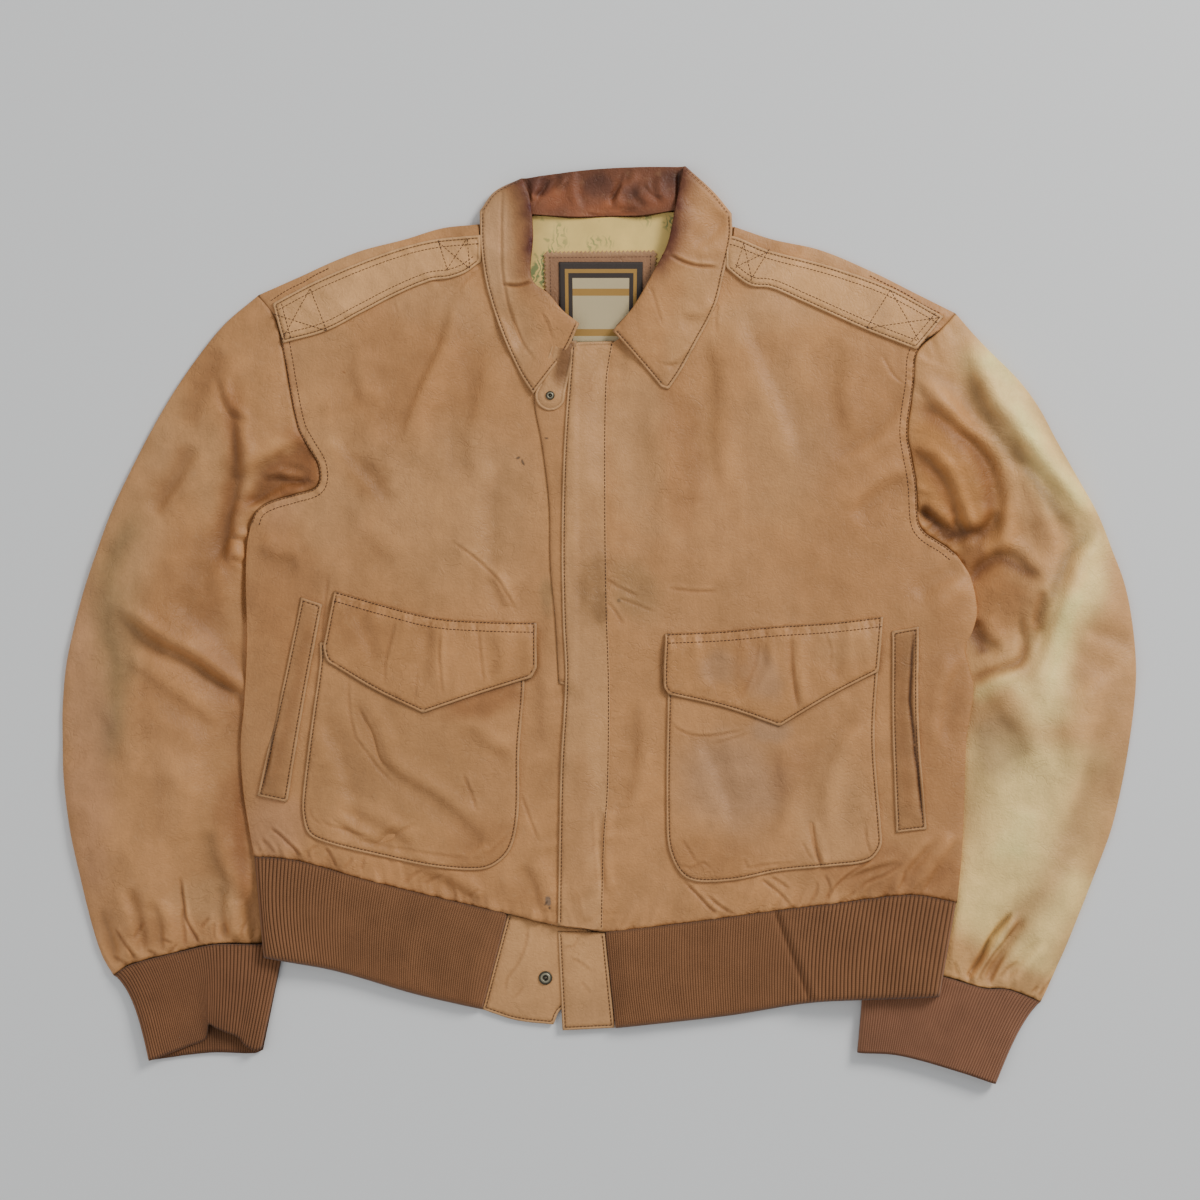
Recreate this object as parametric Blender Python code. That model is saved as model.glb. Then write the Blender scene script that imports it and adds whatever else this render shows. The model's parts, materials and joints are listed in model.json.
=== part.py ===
"""Worn leather bomber jacket, laid flat front-up: CAD solids (metres, +Z up).

Every panel is a thin wall cut from one shared drape, a triangulated plan whose stack height grows
as panels are laid. Panels that share a triangle stay parallel, SEAM apart. The tables below hold
the cut in millimetres: x to the viewer's right, y towards the collar, "right" is the wearer's right.
"""
import bpy
import bmesh
import numpy as np
from mathutils import Vector
from mathutils.geometry import delaunay_2d_cdt

MM = 0.001
SEAM = 0.3            # clearance between neighbouring pieces
PITCH = 47.0          # spacing of the drape's inner points
LEATHER = 1.6         # panel wall: hide and lining together
TRIM = 1.2            # pockets, flaps, straps and tabs
RIB = 2.4             # rib-knit wall
FALL = 2.0            # collar, two layers of hide
LINING = 1.0
CUFF_LOFT = 7.0       # hollow height inside a cuff
SLEEVE_LOFT = 12.0    # hollow height along a sleeve's middle
BODY_LOFT = 7.0       # hollow height inside the body
FOLD_INSET = 1.6      # how far a folded edge is drawn in before it bulges out again

# ---------------------------------------------------------------- outlines: (x, y) in mm
SHOULDER_R = [(-99, 329), (-129, 326), (-159, 317), (-194, 308), (-220, 298), (-244, 287), (-280, 271)]
ARMHOLE_R = [(-280, 271), (-266, 253), (-260, 229), (-254, 194), (-247, 162), (-234, 152), (-228, 132),
             (-231, 114), (-250, 107), (-270, 101), (-281, 94), (-286, 82)]
SIDE_R = [(-286, 82), (-289, 66), (-290, 37), (-289, -12), (-291, -62), (-294, -98), (-292, -135),
          (-287, -168), (-283, -190)]
HEM_R = [(-283, -190), (-249, -193), (-195, -208), (-131, -224), (-75, -237), (-34, -247), (-8, -250)]
HEM_L = [(-8, -250), (5, -252), (50, -247), (97, -241), (148, -234), (198, -228), (256, -221), (293, -227)]
SIDE_L = [(293, -227), (297, -185), (299, -145), (301, -94), (304, -74), (307, -52), (303, -35),
          (300, -18), (306, -6), (310, 11), (305, 39), (294, 57)]
ARMHOLE_L = [(294, 57), (284, 65), (267, 76), (262, 85), (260, 117), (256, 139), (253, 160), (258, 198),
             (261, 224), (280, 242), (293, 256)]
SHOULDER_L = [(293, 256), (261, 272), (225, 290), (182, 308), (142, 317), (111, 327)]
BACK_NECK = [(111, 327), (62, 340), (35, 336), (12, 336), (-22, 335), (-57, 337), (-99, 329)]

FRONT_TOP_R = [(-264, 248), (-229, 262), (-194, 278), (-159, 293), (-127, 301), (-98, 309)]
FRONT_NECK_R = [(-98, 309), (-78, 303), (-69, 284), (-58, 268), (-44, 252), (-28, 238), (-20, 228), (-8, 226)]
FRONT_TOP_L = [(108, 305), (140, 292), (180, 280), (229, 260), (268, 234)]
FRONT_NECK_L = [(-8, 226), (6, 229), (18, 236), (36, 250), (52, 268), (66, 288), (78, 303), (108, 305)]

SLEEVE_OUT_R = [(-399, -288), (-408, -273), (-417, -246), (-427, -205), (-435, -168), (-440, -127),
                (-441, -94), (-441, -66), (-438, -33), (-432, -4), (-424, 27), (-413, 60), (-401, 93),
                (-386, 125), (-368, 160), (-348, 194), (-327, 224), (-307, 248), (-280, 271)]
SLEEVE_IN_R = [(-286, 82), (-276, 53), (-270, -20), (-266, -102), (-262, -184), (-258, -260)]
CUFF_SEAM_R = [(-258, -260), (-278, -262), (-315, -262), (-344, -268), (-385, -279), (-399, -288)]
SLEEVE_OUT_L = [(293, 256), (316, 230), (344, 202), (362, 178), (376, 152), (394, 120), (411, 89),
                (422, 61), (432, 34), (438, 4), (441, -25), (441, -53), (437, -90), (430, -131),
                (421, -168), (409, -201), (396, -234), (380, -273), (363, -310)]
SLEEVE_IN_L = [(219, -272), (234, -209), (251, -144), (267, -62), (280, 20), (294, 57)]
CUFF_SEAM_L = [(363, -310), (335, -299), (316, -298), (285, -289), (219, -272)]
CUFF_LEFT_R = [(-399, -288), (-386, -301), (-379, -332), (-370, -357)]
CUFF_RIGHT_R = [(-276, -349), (-261, -276), (-258, -260)]
CUFF_MOUTH_R = [(-370, -357), (-362, -355.4), (-350, -353), (-316, -351), (-284, -352), (-276, -349)]
CUFF_NOTCH_R = [(-370, -357), (-362, -355.4), (-346, -346), (-334, -337), (-321, -328), (-309, -336),
                (-296, -346), (-284, -352), (-276, -349)]
CUFF_OUTER_L = [(326, -377), (335, -353), (347, -332), (363, -310)]
CUFF_INNER_L = [(219, -272), (214, -307), (212, -351)]
CUFF_MOUTH_L = [(212, -351), (246, -353), (297, -367), (326, -377)]

RIB_SIDE_R = [(-275, -273), (-283, -190)]
RIB_SIDE_L = [(293, -227), (279, -305)]
RIB_BOTTOM_R = [(-96, -316), (-152, -303), (-217, -284), (-262, -275.5), (-275, -273)]
RIB_BOTTOM_L = [(279, -305), (264, -305.8), (233, -307), (176, -310), (106, -321), (14, -331)]
RIB_BOTTOM_BACK = [(279, -305), (264, -305.8), (233, -304), (176, -307), (106, -317), (12, -326), (-40, -323), (-96, -312),
                   (-152, -300), (-217, -282), (-262, -275.5), (-275, -273)]

LEAF_ROLL_R = [(-62.5, 364.6), (-57, 351), (-54, 321), (-56, 290), (-53, 280), (-42, 272), (-30, 258), (-16, 247)]
LEAF_EDGE_R = [(-16, 247), (-26, 226), (-54, 189), (-65, 206), (-80, 239), (-92, 276), (-97, 307), (-95.7, 338.6)]
FALL_FOLD_R = [(-95.7, 338.6), (-84.6, 353.7), (-62.5, 364.6)]
FALL_ROLL = [(-62.5, 364.6), (-38, 370), (-5, 374), (35, 376), (69.2, 375)]
FALL_FOLD_L = [(69.2, 375), (92, 354.3), (107, 336.5)]
LEAF_EDGE_L = [(107, 336.5), (109, 318), (103, 290), (96, 262), (80, 231), (66, 206), (57, 193), (51, 195),
               (35, 214), (11, 241)]
LEAF_ROLL_L = [(11, 241), (26, 258), (35, 272), (47, 294), (56, 312), (62, 340), (69.2, 375)]
FALL_BEHIND = [(107, 336.5), (98, 320), (60, 309), (5, 305), (-50, 307), (-88, 318), (-95.7, 338.6)]
STAND = [(-60, 365), (-38, 368), (-5, 372), (35, 374), (67, 374), (78, 362), (80, 340), (72, 312), (62, 292),
         (50, 270), (36, 252), (24, 240), (14, 245), (26, 258), (35, 272), (47, 294), (56, 312), (62, 340),
         (35, 336), (12, 336), (-22, 335), (-57, 337), (-54, 321), (-56, 290), (-53, 280), (-42, 272),
         (-30, 258), (-19, 247), (-27, 238), (-44, 256), (-60, 272), (-70, 290), (-70, 325), (-74, 350)]

NECK_LINING = [(-84, 328), (-57, 336), (-22, 334), (12, 335), (35, 335), (62, 339), (92, 328), (88, 296),
               (70, 268), (46, 238), (20, 214), (-24, 212), (-52, 240), (-74, 268), (-84, 296)]
NECK_PATCH = [(-44, 305), (46, 306), (44, 226), (-42, 226)]
NECK_LABEL = [(-33, 298), (36, 298), (35, 232), (-32, 232)]

STRAP_R = [(-90, 321), (-98, 320), (-132, 317), (-159, 311), (-194, 299), (-234, 282), (-268, 264), (-259, 231),
           (-223, 241), (-194, 256), (-167, 270), (-138, 282), (-123, 284), (-109, 289), (-97, 298), (-90, 302)]
STRAP_L = [(104, 294), (106, 291), (124, 278), (141, 276), (171, 263), (218, 242), (256, 226), (276, 252),
           (239, 277), (189, 295), (139, 308), (111, 319), (104, 319)]
PLACKET = [(-17, 232), (12, 233), (7, 199), (6, 99), (7, 16), (9, -52), (8, -135), (5, -177), (3, -250.5),
           (-34, -246), (-32, -120), (-28, -43), (-30, 4), (-31, 66), (-29, 149), (-23, 230)]
UNDER_FLY = [(-46, 222), (-18, 222), (-18, -52), (-33, -48), (-36, 4), (-40, 49), (-41, 99), (-47, 149),
             (-53, 183), (-50, 205)]
POCKET_R = [(-229, -20), (-64, -24), (-61, -48), (-65, -102), (-66, -156), (-72, -183), (-84, -196),
            (-99, -201), (-138, -198), (-186, -188), (-225, -178), (-238, -171), (-243, -156), (-243, -140),
            (-236, -82), (-229, -30)]
FLAP_R = [(-217, 28), (-134, 6), (-51, 2), (-51, -35), (-55, -43), (-144, -72), (-216, -34), (-225, -26),
          (-225, -10)]
WELT_R = [(-244, 23), (-229, 17), (-257, -145), (-280, -140)]
POCKET_L = [(57, -40), (229, -34), (229, -43), (226, -94), (231, -166), (231, -181), (221, -193), (189, -198),
            (148, -202), (106, -210), (72, -208), (58, -187), (55, -156), (57, -60)]
FLAP_L = [(54, -7), (144, -1), (233, 7), (229, -38), (148, -83), (57, -57), (53, -52)]
WELT_L = [(241, -5), (262, -1), (268, -167), (244, -170)]
TAB_R = [(-75, -237.3), (-34, -247.3), (-6, -250.5), (-8, -326), (-40, -329), (-96, -316)]
TAB_L = [(-34, -251.5), (5, -252.6), (12, -330), (-30, -333)]
NECK_TAB_CENTRE, NECK_TAB_RADIUS, NECK_TAB_ROOT = (-40, 188), 12.5, (-27, 224)
SNAPS = [("neck_snap", (-40, 188), 3.9), ("waist_snap", (-44, -290), 5.6)]

# Large folds: height in mm along a line on the named surface (negative is a trough).
FOLDS = [
    ("sleeve", 6.0, [(-398, 20), (-371, -1), (-338, -18), (-306, -40)]),
    ("sleeve", -5.0, [(-402, -6), (-371, -24), (-334, -42), (-304, -62)]),
    ("sleeve", 4.0, [(-372, -50), (-345, -90), (-334, -140)]),
    ("sleeve", -5.0, [(-350, -196), (-341, -228), (-330, -254)]),
    ("sleeve", 4.0, [(-375, -205), (-372, -240)]),
    ("sleeve", 4.0, [(-312, -205), (-306, -240)]),
    ("sleeve", 5.0, [(-268, 200), (-292, 150), (-300, 112)]),
    ("sleeve", 8.0, [(312, 222), (330, 176), (358, 138), (384, 100)]),
    ("sleeve", -6.0, [(298, 190), (312, 158), (341, 112), (352, 70)]),
    ("sleeve", 7.0, [(278, 186), (300, 132), (318, 96)]),
    ("sleeve", 7.0, [(330, 36), (366, 30), (402, 14)]),
    ("sleeve", -6.0, [(322, 2), (356, -10), (392, -22)]),
    ("sleeve", 5.0, [(322, -34), (360, -60), (398, -100)]),
    ("sleeve", -6.0, [(352, -222), (326, -262), (306, -284)]),
    ("sleeve", 4.0, [(376, -222), (352, -276)]),
    ("front", 3.2, [(-120, 240), (-150, 196), (-172, 148)]),
    ("front", 2.6, [(-216, 150), (-184, 112), (-150, 70)]),
    ("front", 2.6, [(120, 216), (150, 170), (170, 120)]),
    ("front", 2.4, [(84, 120), (96, 60)]),
    ("front", 3.0, [(252, -196), (214, -212)]),
    ("front", 2.8, [(-240, -176), (-198, -196)]),
]

FINISHES = {  # slot: (base colour, roughness, metallic)
    "leather_tan": ((0.49, 0.26, 0.125), 0.62, 0.0),
    "leather_cream": ((0.62, 0.46, 0.26), 0.66, 0.0),
    "leather_dark": ((0.16, 0.065, 0.03), 0.6, 0.0),
    "rib_knit": ((0.2, 0.085, 0.038), 0.9, 0.0),
    "lining_cloth": ((0.6, 0.51, 0.27), 0.85, 0.0),
    "patch_leather": ((0.27, 0.145, 0.075), 0.75, 0.0),
    "label_cloth": ((0.62, 0.55, 0.38), 0.85, 0.0),
    "snap_metal": ((0.17, 0.15, 0.09), 0.4, 0.9),
}


# ---------------------------------------------------------------- plan geometry
def inside(points, outline):
    """Which points lie inside a closed outline (even-odd rule)."""
    px, py = points[:, 0], points[:, 1]
    result = np.zeros(len(points), bool)
    ring = np.asarray(outline, float)
    for (ax, ay), (bx, by) in zip(ring, np.roll(ring, -1, axis=0)):
        crosses = (ay > py) != (by > py)
        if ay != by:
            result ^= crosses & (px < (bx - ax) * (py - ay) / (by - ay) + ax)
    return result


def distance(points, line, closed=False):
    """Shortest distance from each point to a polyline."""
    line = np.asarray(line, float)
    ends = np.roll(line, -1, axis=0) if closed else line[1:]
    starts = line if closed else line[:-1]
    best = np.full(len(points), 1e9)
    for a, b in zip(starts, ends):
        along = b - a
        t = np.clip((points - a) @ along / max(along @ along, 1e-9), 0, 1)
        best = np.minimum(best, np.linalg.norm(points - (a + t[:, None] * along), axis=1))
    return best


def resample(line, step):
    """Points along a polyline at most `step` apart, keeping its corners."""
    result = [line[0]]
    for a, b in zip(line, line[1:]):
        count = max(1, int(np.ceil(np.hypot(b[0] - a[0], b[1] - a[1]) / step)))
        result += [tuple(np.add(a, np.subtract(b, a) * k / count)) for k in range(1, count + 1)]
    return result


def thin(line, step):
    """A polyline without the corners that lie closer than `step` to the one before."""
    result = [line[0]]
    for p in line[1:-1]:
        if np.hypot(p[0] - result[-1][0], p[1] - result[-1][1]) > step:
            result.append(p)
    return result + [line[-1]]


def signed_area(outline):
    x, y = np.asarray(outline, float).T
    return 0.5 * float(np.sum(x * np.roll(y, -1) - np.roll(x, -1) * y))


def join_runs(runs):
    """Closed outline and, for each of its edges, its run's name and margin."""
    outline, labels, margins = [], [], []
    for name, line, margin in runs:
        outline += line[:-1]
        labels += [name] * (len(line) - 1)
        margins += [margin] * (len(line) - 1)
    return outline, labels, margins


def inset(runs):
    """Draw each run of a closed outline in by its own margin and return outline and edge labels."""
    if signed_area(join_runs(runs)[0]) < 0:
        runs = [(name, line[::-1], margin) for name, line, margin in runs[::-1]]
    outline, labels, margins = join_runs(runs)
    pts = np.asarray(outline, float)
    count = len(pts)
    moved = []
    for k in range(count):
        before, here, after = pts[k - 1], pts[k], pts[(k + 1) % count]
        margin_in, margin_out = margins[k - 1], margins[k]
        d1, d2 = here - before, after - here
        n1 = np.array([-d1[1], d1[0]]) / np.hypot(*d1)
        n2 = np.array([-d2[1], d2[0]]) / np.hypot(*d2)
        system = np.array([n1, n2])
        if abs(np.linalg.det(system)) < 0.25:
            blend = n1 + n2
            moved.append(here + blend / np.hypot(*blend) * 0.5 * (margin_in + margin_out))
        else:
            moved.append(here + np.linalg.solve(system, [margin_in, margin_out]))
    return [tuple(p) for p in moved], labels


# ---------------------------------------------------------------- the shared drape
class Drape:
    """Triangulated plan with a stack height at each corner of each triangle."""

    def __init__(self, lines, rings, region):
        coords, edges = [], []

        def add(line, step):
            line = resample(thin(line, 9.0), step)
            first = len(coords)
            coords.extend(line)
            edges.extend((first + k, first + k + 1) for k in range(len(line) - 1))

        for line in lines:
            add(line, 46.0)
        fixed = np.array(coords)
        for line, offset in rings:
            pts = np.asarray(resample(thin(line, 30.0), 46.0), float)
            d = np.gradient(pts, axis=0)
            normal = np.stack([-d[:, 1], d[:, 0]], 1) / np.linalg.norm(d, axis=1)[:, None]
            ring = pts + normal * offset
            near = np.min(np.linalg.norm(ring[:, None] - fixed[None], axis=2), axis=1)
            coords += [tuple(p) for p in ring[near > abs(offset) * 0.7]]
        taken = np.array(coords)
        rows = np.arange(-400, 401, PITCH * 0.866)
        for number, y in enumerate(rows):
            for x in np.arange(-460, 461, PITCH) + (PITCH / 2 if number % 2 else 0):
                clear = np.min(np.hypot(taken[:, 0] - x, taken[:, 1] - y))
                if clear > PITCH * 0.52:
                    coords.append((x, y))
        corners = [(-520, -460), (520, -460), (520, 460), (-520, 460)]
        coords += corners
        out = delaunay_2d_cdt([Vector(c) for c in coords], edges, [], 0, 1e-3)
        self.xy = np.array([tuple(v) for v in out[0]])
        self.tris = np.array([list(f) for f in out[2]])
        keep = np.any(inside(self.xy, region)[self.tris], axis=1)
        keep |= inside(self.xy[self.tris].mean(axis=1), region)
        self.tris = self.tris[keep]
        a, b, c = (self.xy[self.tris[:, k]] for k in range(3))
        self.origin, self.edge1, self.edge2 = a, b - a, c - a
        self.det = self.edge1[:, 0] * self.edge2[:, 1] - self.edge1[:, 1] * self.edge2[:, 0]
        self.top = np.zeros((len(self.tris), 3))
        self.laid = np.zeros(len(self.tris), bool)

    def weights(self, points):
        """Containing triangle and corner weights of each point."""
        rel = points[:, None] - self.origin[None]
        u = (rel[..., 0] * self.edge2[:, 1] - rel[..., 1] * self.edge2[:, 0]) / self.det
        v = (self.edge1[:, 0] * rel[..., 1] - self.edge1[:, 1] * rel[..., 0]) / self.det
        low = np.minimum(np.minimum(u, v), 1 - u - v)
        tri = np.argmax(low, axis=1)
        row = np.arange(len(points))
        u, v = u[row, tri], v[row, tri]
        return tri, np.stack([1 - u - v, u, v], axis=1)

    def cut(self, outline, labels):
        """Triangulate an outline along the drape's own edges."""
        ring = np.asarray(outline, float)
        low, high = ring.min(axis=0) - 80, ring.max(axis=0) + 80
        used = np.all((self.xy > low) & (self.xy < high), axis=1)
        near = self.tris[np.all(used[self.tris], axis=1)]
        ids, local = np.unique(near, return_inverse=True)
        local = local.reshape(near.shape)
        pairs = np.sort(np.concatenate([local[:, [0, 1]], local[:, [1, 2]], local[:, [2, 0]]]), axis=1)
        pairs = [tuple(map(int, p)) for p in np.unique(pairs, axis=0)]
        first, count = len(ids), len(outline)
        coords = [Vector(self.xy[i]) for i in ids] + [Vector(p) for p in outline]
        pairs += [(first + k, first + (k + 1) % count) for k in range(count)]
        out = delaunay_2d_cdt(coords, pairs, [], 0, 1e-3)
        xy = np.array([tuple(v) for v in out[0]])
        faces = np.array([list(f) for f in out[2]])
        faces = faces[inside(xy[faces].mean(axis=1), outline)]
        keep, faces = np.unique(faces, return_inverse=True)
        return Cut(self, xy[keep], faces.reshape(-1, 3), outline, labels)


class Cut:
    """One panel's plan: points, triangles, labelled boundary and the drape triangles it covers."""

    def __init__(self, drape, xy, faces, outline, labels):
        self.drape, self.xy = drape, xy
        a, b, c = (xy[faces[:, k]] for k in range(3))
        turn = (b - a)[:, 0] * (c - a)[:, 1] - (b - a)[:, 1] * (c - a)[:, 0]
        faces[turn < 0] = faces[turn < 0][:, ::-1]
        self.faces = faces
        area = np.abs(turn) / 2
        self.covered = np.unique(drape.weights(xy[faces].mean(axis=1))[0][area > 0.4])
        self.tri, self.weight = drape.weights(xy)
        sides = {}
        for f in faces:
            for k in range(3):
                sides[(int(f[k]), int(f[(k + 1) % 3]))] = True
        rim = [e for e in sides if (e[1], e[0]) not in sides]
        middle = np.array([(xy[i] + xy[j]) / 2 for i, j in rim])
        ring = np.asarray(outline, float)
        spans = np.stack([distance(middle, np.stack([ring[k], ring[(k + 1) % len(ring)]]))
                          for k in range(len(ring))], axis=1)
        self.rim = [(i, j, labels[k]) for (i, j), k in zip(rim, np.argmin(spans, axis=1))]


class Sheet:
    """A panel laid on the stack: its cut with bottom heights and a wall thickness."""

    def __init__(self, drape, runs, thickness, loft=None, mark=None):
        outline, labels = inset(runs)
        self.cut = drape.cut(outline, labels)
        covered = self.cut.covered
        field = np.full(len(drape.xy), -1.0)
        laid = drape.laid[covered]
        for tri, on in zip(covered, laid):
            for k, v in enumerate(drape.tris[tri]):
                field[v] = max(field[v], drape.top[tri, k] + (SEAM if on else 0.0))
        used = field >= 0
        if loft is not None:
            field[used] += np.maximum(loft(drape.xy[used]), 0.0)
        self.thickness, self.field = thickness, field
        self.bottom = self.heights(field)
        self.top = self.bottom + thickness
        self.pending = [(tri, field[drape.tris[tri]] + thickness) for tri in covered]

    def heights(self, field):
        """The field read at the cut's points; a point on a shared edge reads covered triangles only."""
        drape, cut = self.cut.drape, self.cut
        tri = cut.tri.copy()
        weight = cut.weight.copy()
        loose = ~np.isin(tri, cut.covered) | np.any(field[drape.tris[tri]] < 0, axis=1)
        if np.any(loose):
            pts = cut.xy[loose]
            best_t, best_w, best = None, None, np.full(len(pts), -1e9)
            best_t = np.zeros(len(pts), int)
            best_w = np.zeros((len(pts), 3))
            for t in cut.covered:
                rel = pts - drape.origin[t]
                e1, e2, det = drape.edge1[t], drape.edge2[t], drape.det[t]
                u = (rel[:, 0] * e2[1] - rel[:, 1] * e2[0]) / det
                v = (e1[0] * rel[:, 1] - e1[1] * rel[:, 0]) / det
                low = np.minimum(np.minimum(u, v), 1 - u - v)
                better = low > best
                best[better] = low[better]
                best_t[better] = t
                best_w[better] = np.stack([1 - u - v, u, v], axis=1)[better]
            tri[loose], weight[loose] = best_t, best_w
        return np.sum(field[drape.tris[tri]] * weight, axis=1)


def lay(drape, sheets):
    """Add a finished layer of sheets to the stack."""
    for sheet in sheets:
        for tri, heights in sheet.pending:
            drape.top[tri] = heights
            drape.laid[tri] = True


# ---------------------------------------------------------------- solids
class Solid:
    """Collects sheets and folded edges into one closed mesh."""

    def __init__(self, name, slot):
        self.name, self.slot = name, slot
        self.verts, self.faces = [], []

    def add(self, xy, z):
        first = len(self.verts)
        self.verts += [(float(p[0]), float(p[1]), float(h)) for p, h in zip(xy, z)]
        return first

    def sheet(self, sheet, open_runs=()):
        """Both skins of a sheet and its side walls, except along the runs a fold will close."""
        cut = sheet.cut
        low = self.add(cut.xy, sheet.bottom)
        high = self.add(cut.xy, sheet.top)
        for a, b, c in cut.faces:
            self.faces.append((high + a, high + b, high + c))
            self.faces.append((low + c, low + b, low + a))
        for i, j, run in cut.rim:
            if run not in open_runs:
                self.faces.append((low + i, low + j, high + j, high + i))
        return low, high

    def fold(self, upper, upper_at, upper_run, lower, lower_at, lower_run, bulge, wall, rows):
        """Close a folded edge between two sheets whose outlines share it."""
        def chain(cut, run):
            after = {i: j for i, j, r in cut.rim if r == run}
            start = (set(after) - set(after.values())).pop()
            ids = [start]
            while ids[-1] in after:
                ids.append(after[ids[-1]])
            return ids

        top_ids = chain(upper.cut, upper_run)
        low_ids = chain(lower.cut, lower_run)
        xy = upper.cut.xy[top_ids]
        if len(top_ids) != len(low_ids) or np.abs(xy - lower.cut.xy[low_ids]).max() > 0.05:
            raise ValueError(self.name + ": the folded edges differ")
        along = np.gradient(xy, axis=0)
        out = np.stack([along[:, 1], -along[:, 0]], 1) / np.linalg.norm(along, axis=1)[:, None]
        out[[0, -1]] *= 0.2
        outer = [[upper_at[1] + i for i in top_ids]]
        inner = [[upper_at[0] + i for i in top_ids]]
        z_top, z_low = upper.top[top_ids], lower.bottom[low_ids]
        in_top, in_low = upper.bottom[top_ids], lower.top[low_ids]
        for k in range(1, rows):
            angle = np.pi * k / rows
            swing = np.sin(angle) * bulge
            half = 0.5 * (1 - np.cos(angle))
            first = self.add(xy + out * swing, z_top + (z_low - z_top) * half)
            outer.append(list(range(first, first + len(xy))))
            if bulge > wall:
                first = self.add(xy + out * np.sin(angle) * (bulge - wall), in_top + (in_low - in_top) * half)
                inner.append(list(range(first, first + len(xy))))
        outer.append([lower_at[0] + i for i in low_ids])
        inner.append([lower_at[1] + i for i in low_ids])
        for rows_of in (outer, inner):
            for upper_row, lower_row in zip(rows_of, rows_of[1:]):
                for k in range(len(xy) - 1):
                    self.faces.append((upper_row[k], upper_row[k + 1], lower_row[k + 1], lower_row[k]))
        for end in (0, len(xy) - 1):
            self.faces.append([row[end] for row in outer] + [row[end] for row in inner[::-1]])

    def build(self, shift):
        """Make the Blender object, all faces outward."""
        mesh = bpy.data.meshes.new(self.name)
        mesh.from_pydata([tuple((c + s) * MM for c, s in zip(v, shift)) for v in self.verts], [], self.faces)
        work = bmesh.new()
        work.from_mesh(mesh)
        bmesh.ops.triangulate(work, faces=work.faces[:])
        bmesh.ops.delete(work, geom=[v for v in work.verts if not v.link_faces], context="VERTS")
        bmesh.ops.recalc_face_normals(work, faces=work.faces[:])
        if work.calc_volume(signed=True) < 0:
            bmesh.ops.reverse_faces(work, faces=work.faces[:])
        work.to_mesh(mesh)
        work.free()
        obj = bpy.data.objects.new(self.name, mesh)
        bpy.context.scene.collection.objects.link(obj)
        obj.data.materials.append(finish(self.slot, self.name))
        return obj


def finish(slot, name):
    """A Principled material for one node."""
    colour, roughness, metallic = FINISHES[slot]
    material = bpy.data.materials.new(name + "_" + slot)
    material.use_nodes = True
    shader = material.node_tree.nodes["Principled BSDF"]
    shader.inputs["Base Color"].default_value = (*colour, 1.0)
    shader.inputs["Roughness"].default_value = roughness
    shader.inputs["Metallic"].default_value = metallic
    material.diffuse_color = (*colour, 1.0)
    return material


def dome(d, width):
    """Elliptical rise from 0 at an edge to 1 at `width` inside it."""
    t = np.clip(d / width, 0, 1)
    return np.sqrt(1 - (1 - t) ** 2)


def smooth(d, width):
    t = np.clip(d / width, 0, 1)
    return t * t * (3 - 2 * t)


def folds(points, surface, spread):
    """Height of the named surface's large folds, falling off over `spread`."""
    total = np.zeros(len(points))
    for kind, height, line in FOLDS:
        if kind == surface:
            total += height * np.clip(1 - distance(points, line) / spread, 0, 1)
    return total


def sleeve_loft(outer, inner, armhole, cuff):
    """Hollow height of a sleeve: domed outside, pressed flat where it is tucked under the body."""
    def loft(p):
        rise = dome(distance(p, outer), 62.0) * smooth(distance(p, inner) - 6, 74.0)
        rise = np.where(distance(p, inner) < 1, 0, np.maximum(rise, 0))
        near_arm = BODY_LOFT + (SLEEVE_LOFT - BODY_LOFT) * smooth(distance(p, armhole), 80.0)
        near_cuff = CUFF_LOFT + (SLEEVE_LOFT - CUFF_LOFT) * smooth(distance(p, cuff), 70.0)
        tucked = smooth(distance(p, inner) - 30, 40.0)
        return rise * np.minimum(near_arm, near_cuff) + folds(p, "sleeve", 22.0) * tucked * dome(
            distance(p, outer), 40.0)
    return loft


def front_loft(p):
    """Hollow height between back and front: nothing at the folded rim, little at the armholes."""
    rim = np.minimum.reduce([distance(p, SIDE_R), distance(p, SIDE_L), distance(p, SHOULDER_R),
                             distance(p, SHOULDER_L)])
    raised = dome(rim, 62.0) * BODY_LOFT
    waist = 0.85 + 0.15 * smooth(p[:, 1] + 250, 60.0)
    neck = smooth(np.hypot(p[:, 0] - 4, p[:, 1] - 300) - 90, 60.0)
    return raised * waist * (0.2 + 0.8 * neck) + folds(p, "front", 24.0) * dome(rim, 30.0)


def cuff_loft(sides, peak):
    """Hollow height of a cuff between its folded sides."""
    def loft(p):
        return peak * dome(np.minimum(distance(p, sides[0]), distance(p, sides[1])), 34.0)
    return loft


def disc(centre, radius, count):
    angles = np.arange(count) * 2 * np.pi / count
    return [(centre[0] + radius * np.cos(a), centre[1] + radius * np.sin(a)) for a in angles]


def snap_solid(name, centre, radius, base):
    """Domed snap cap: three rings and a crown over a flat foot."""
    solid = Solid(name, "snap_metal")
    rings = []
    for scale, height in ((1.0, 0.0), (1.0, 0.7), (0.82, 1.3), (0.45, 1.7)):
        first = solid.add(disc(centre, radius * scale, 24), [base + height] * 24)
        rings.append(range(first, first + 24))
    for low, high in zip(rings, rings[1:]):
        for k in range(24):
            n = (k + 1) % 24
            solid.faces.append((low[k], low[n], high[n], high[k]))
    solid.faces.append(tuple(rings[0])[::-1])
    solid.faces.append(tuple(rings[-1]))
    return solid


def closed(outline, margin=0.0):
    """An outline as one run that comes back to its start."""
    return [("edge", list(outline) + [outline[0]], margin)]


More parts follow.
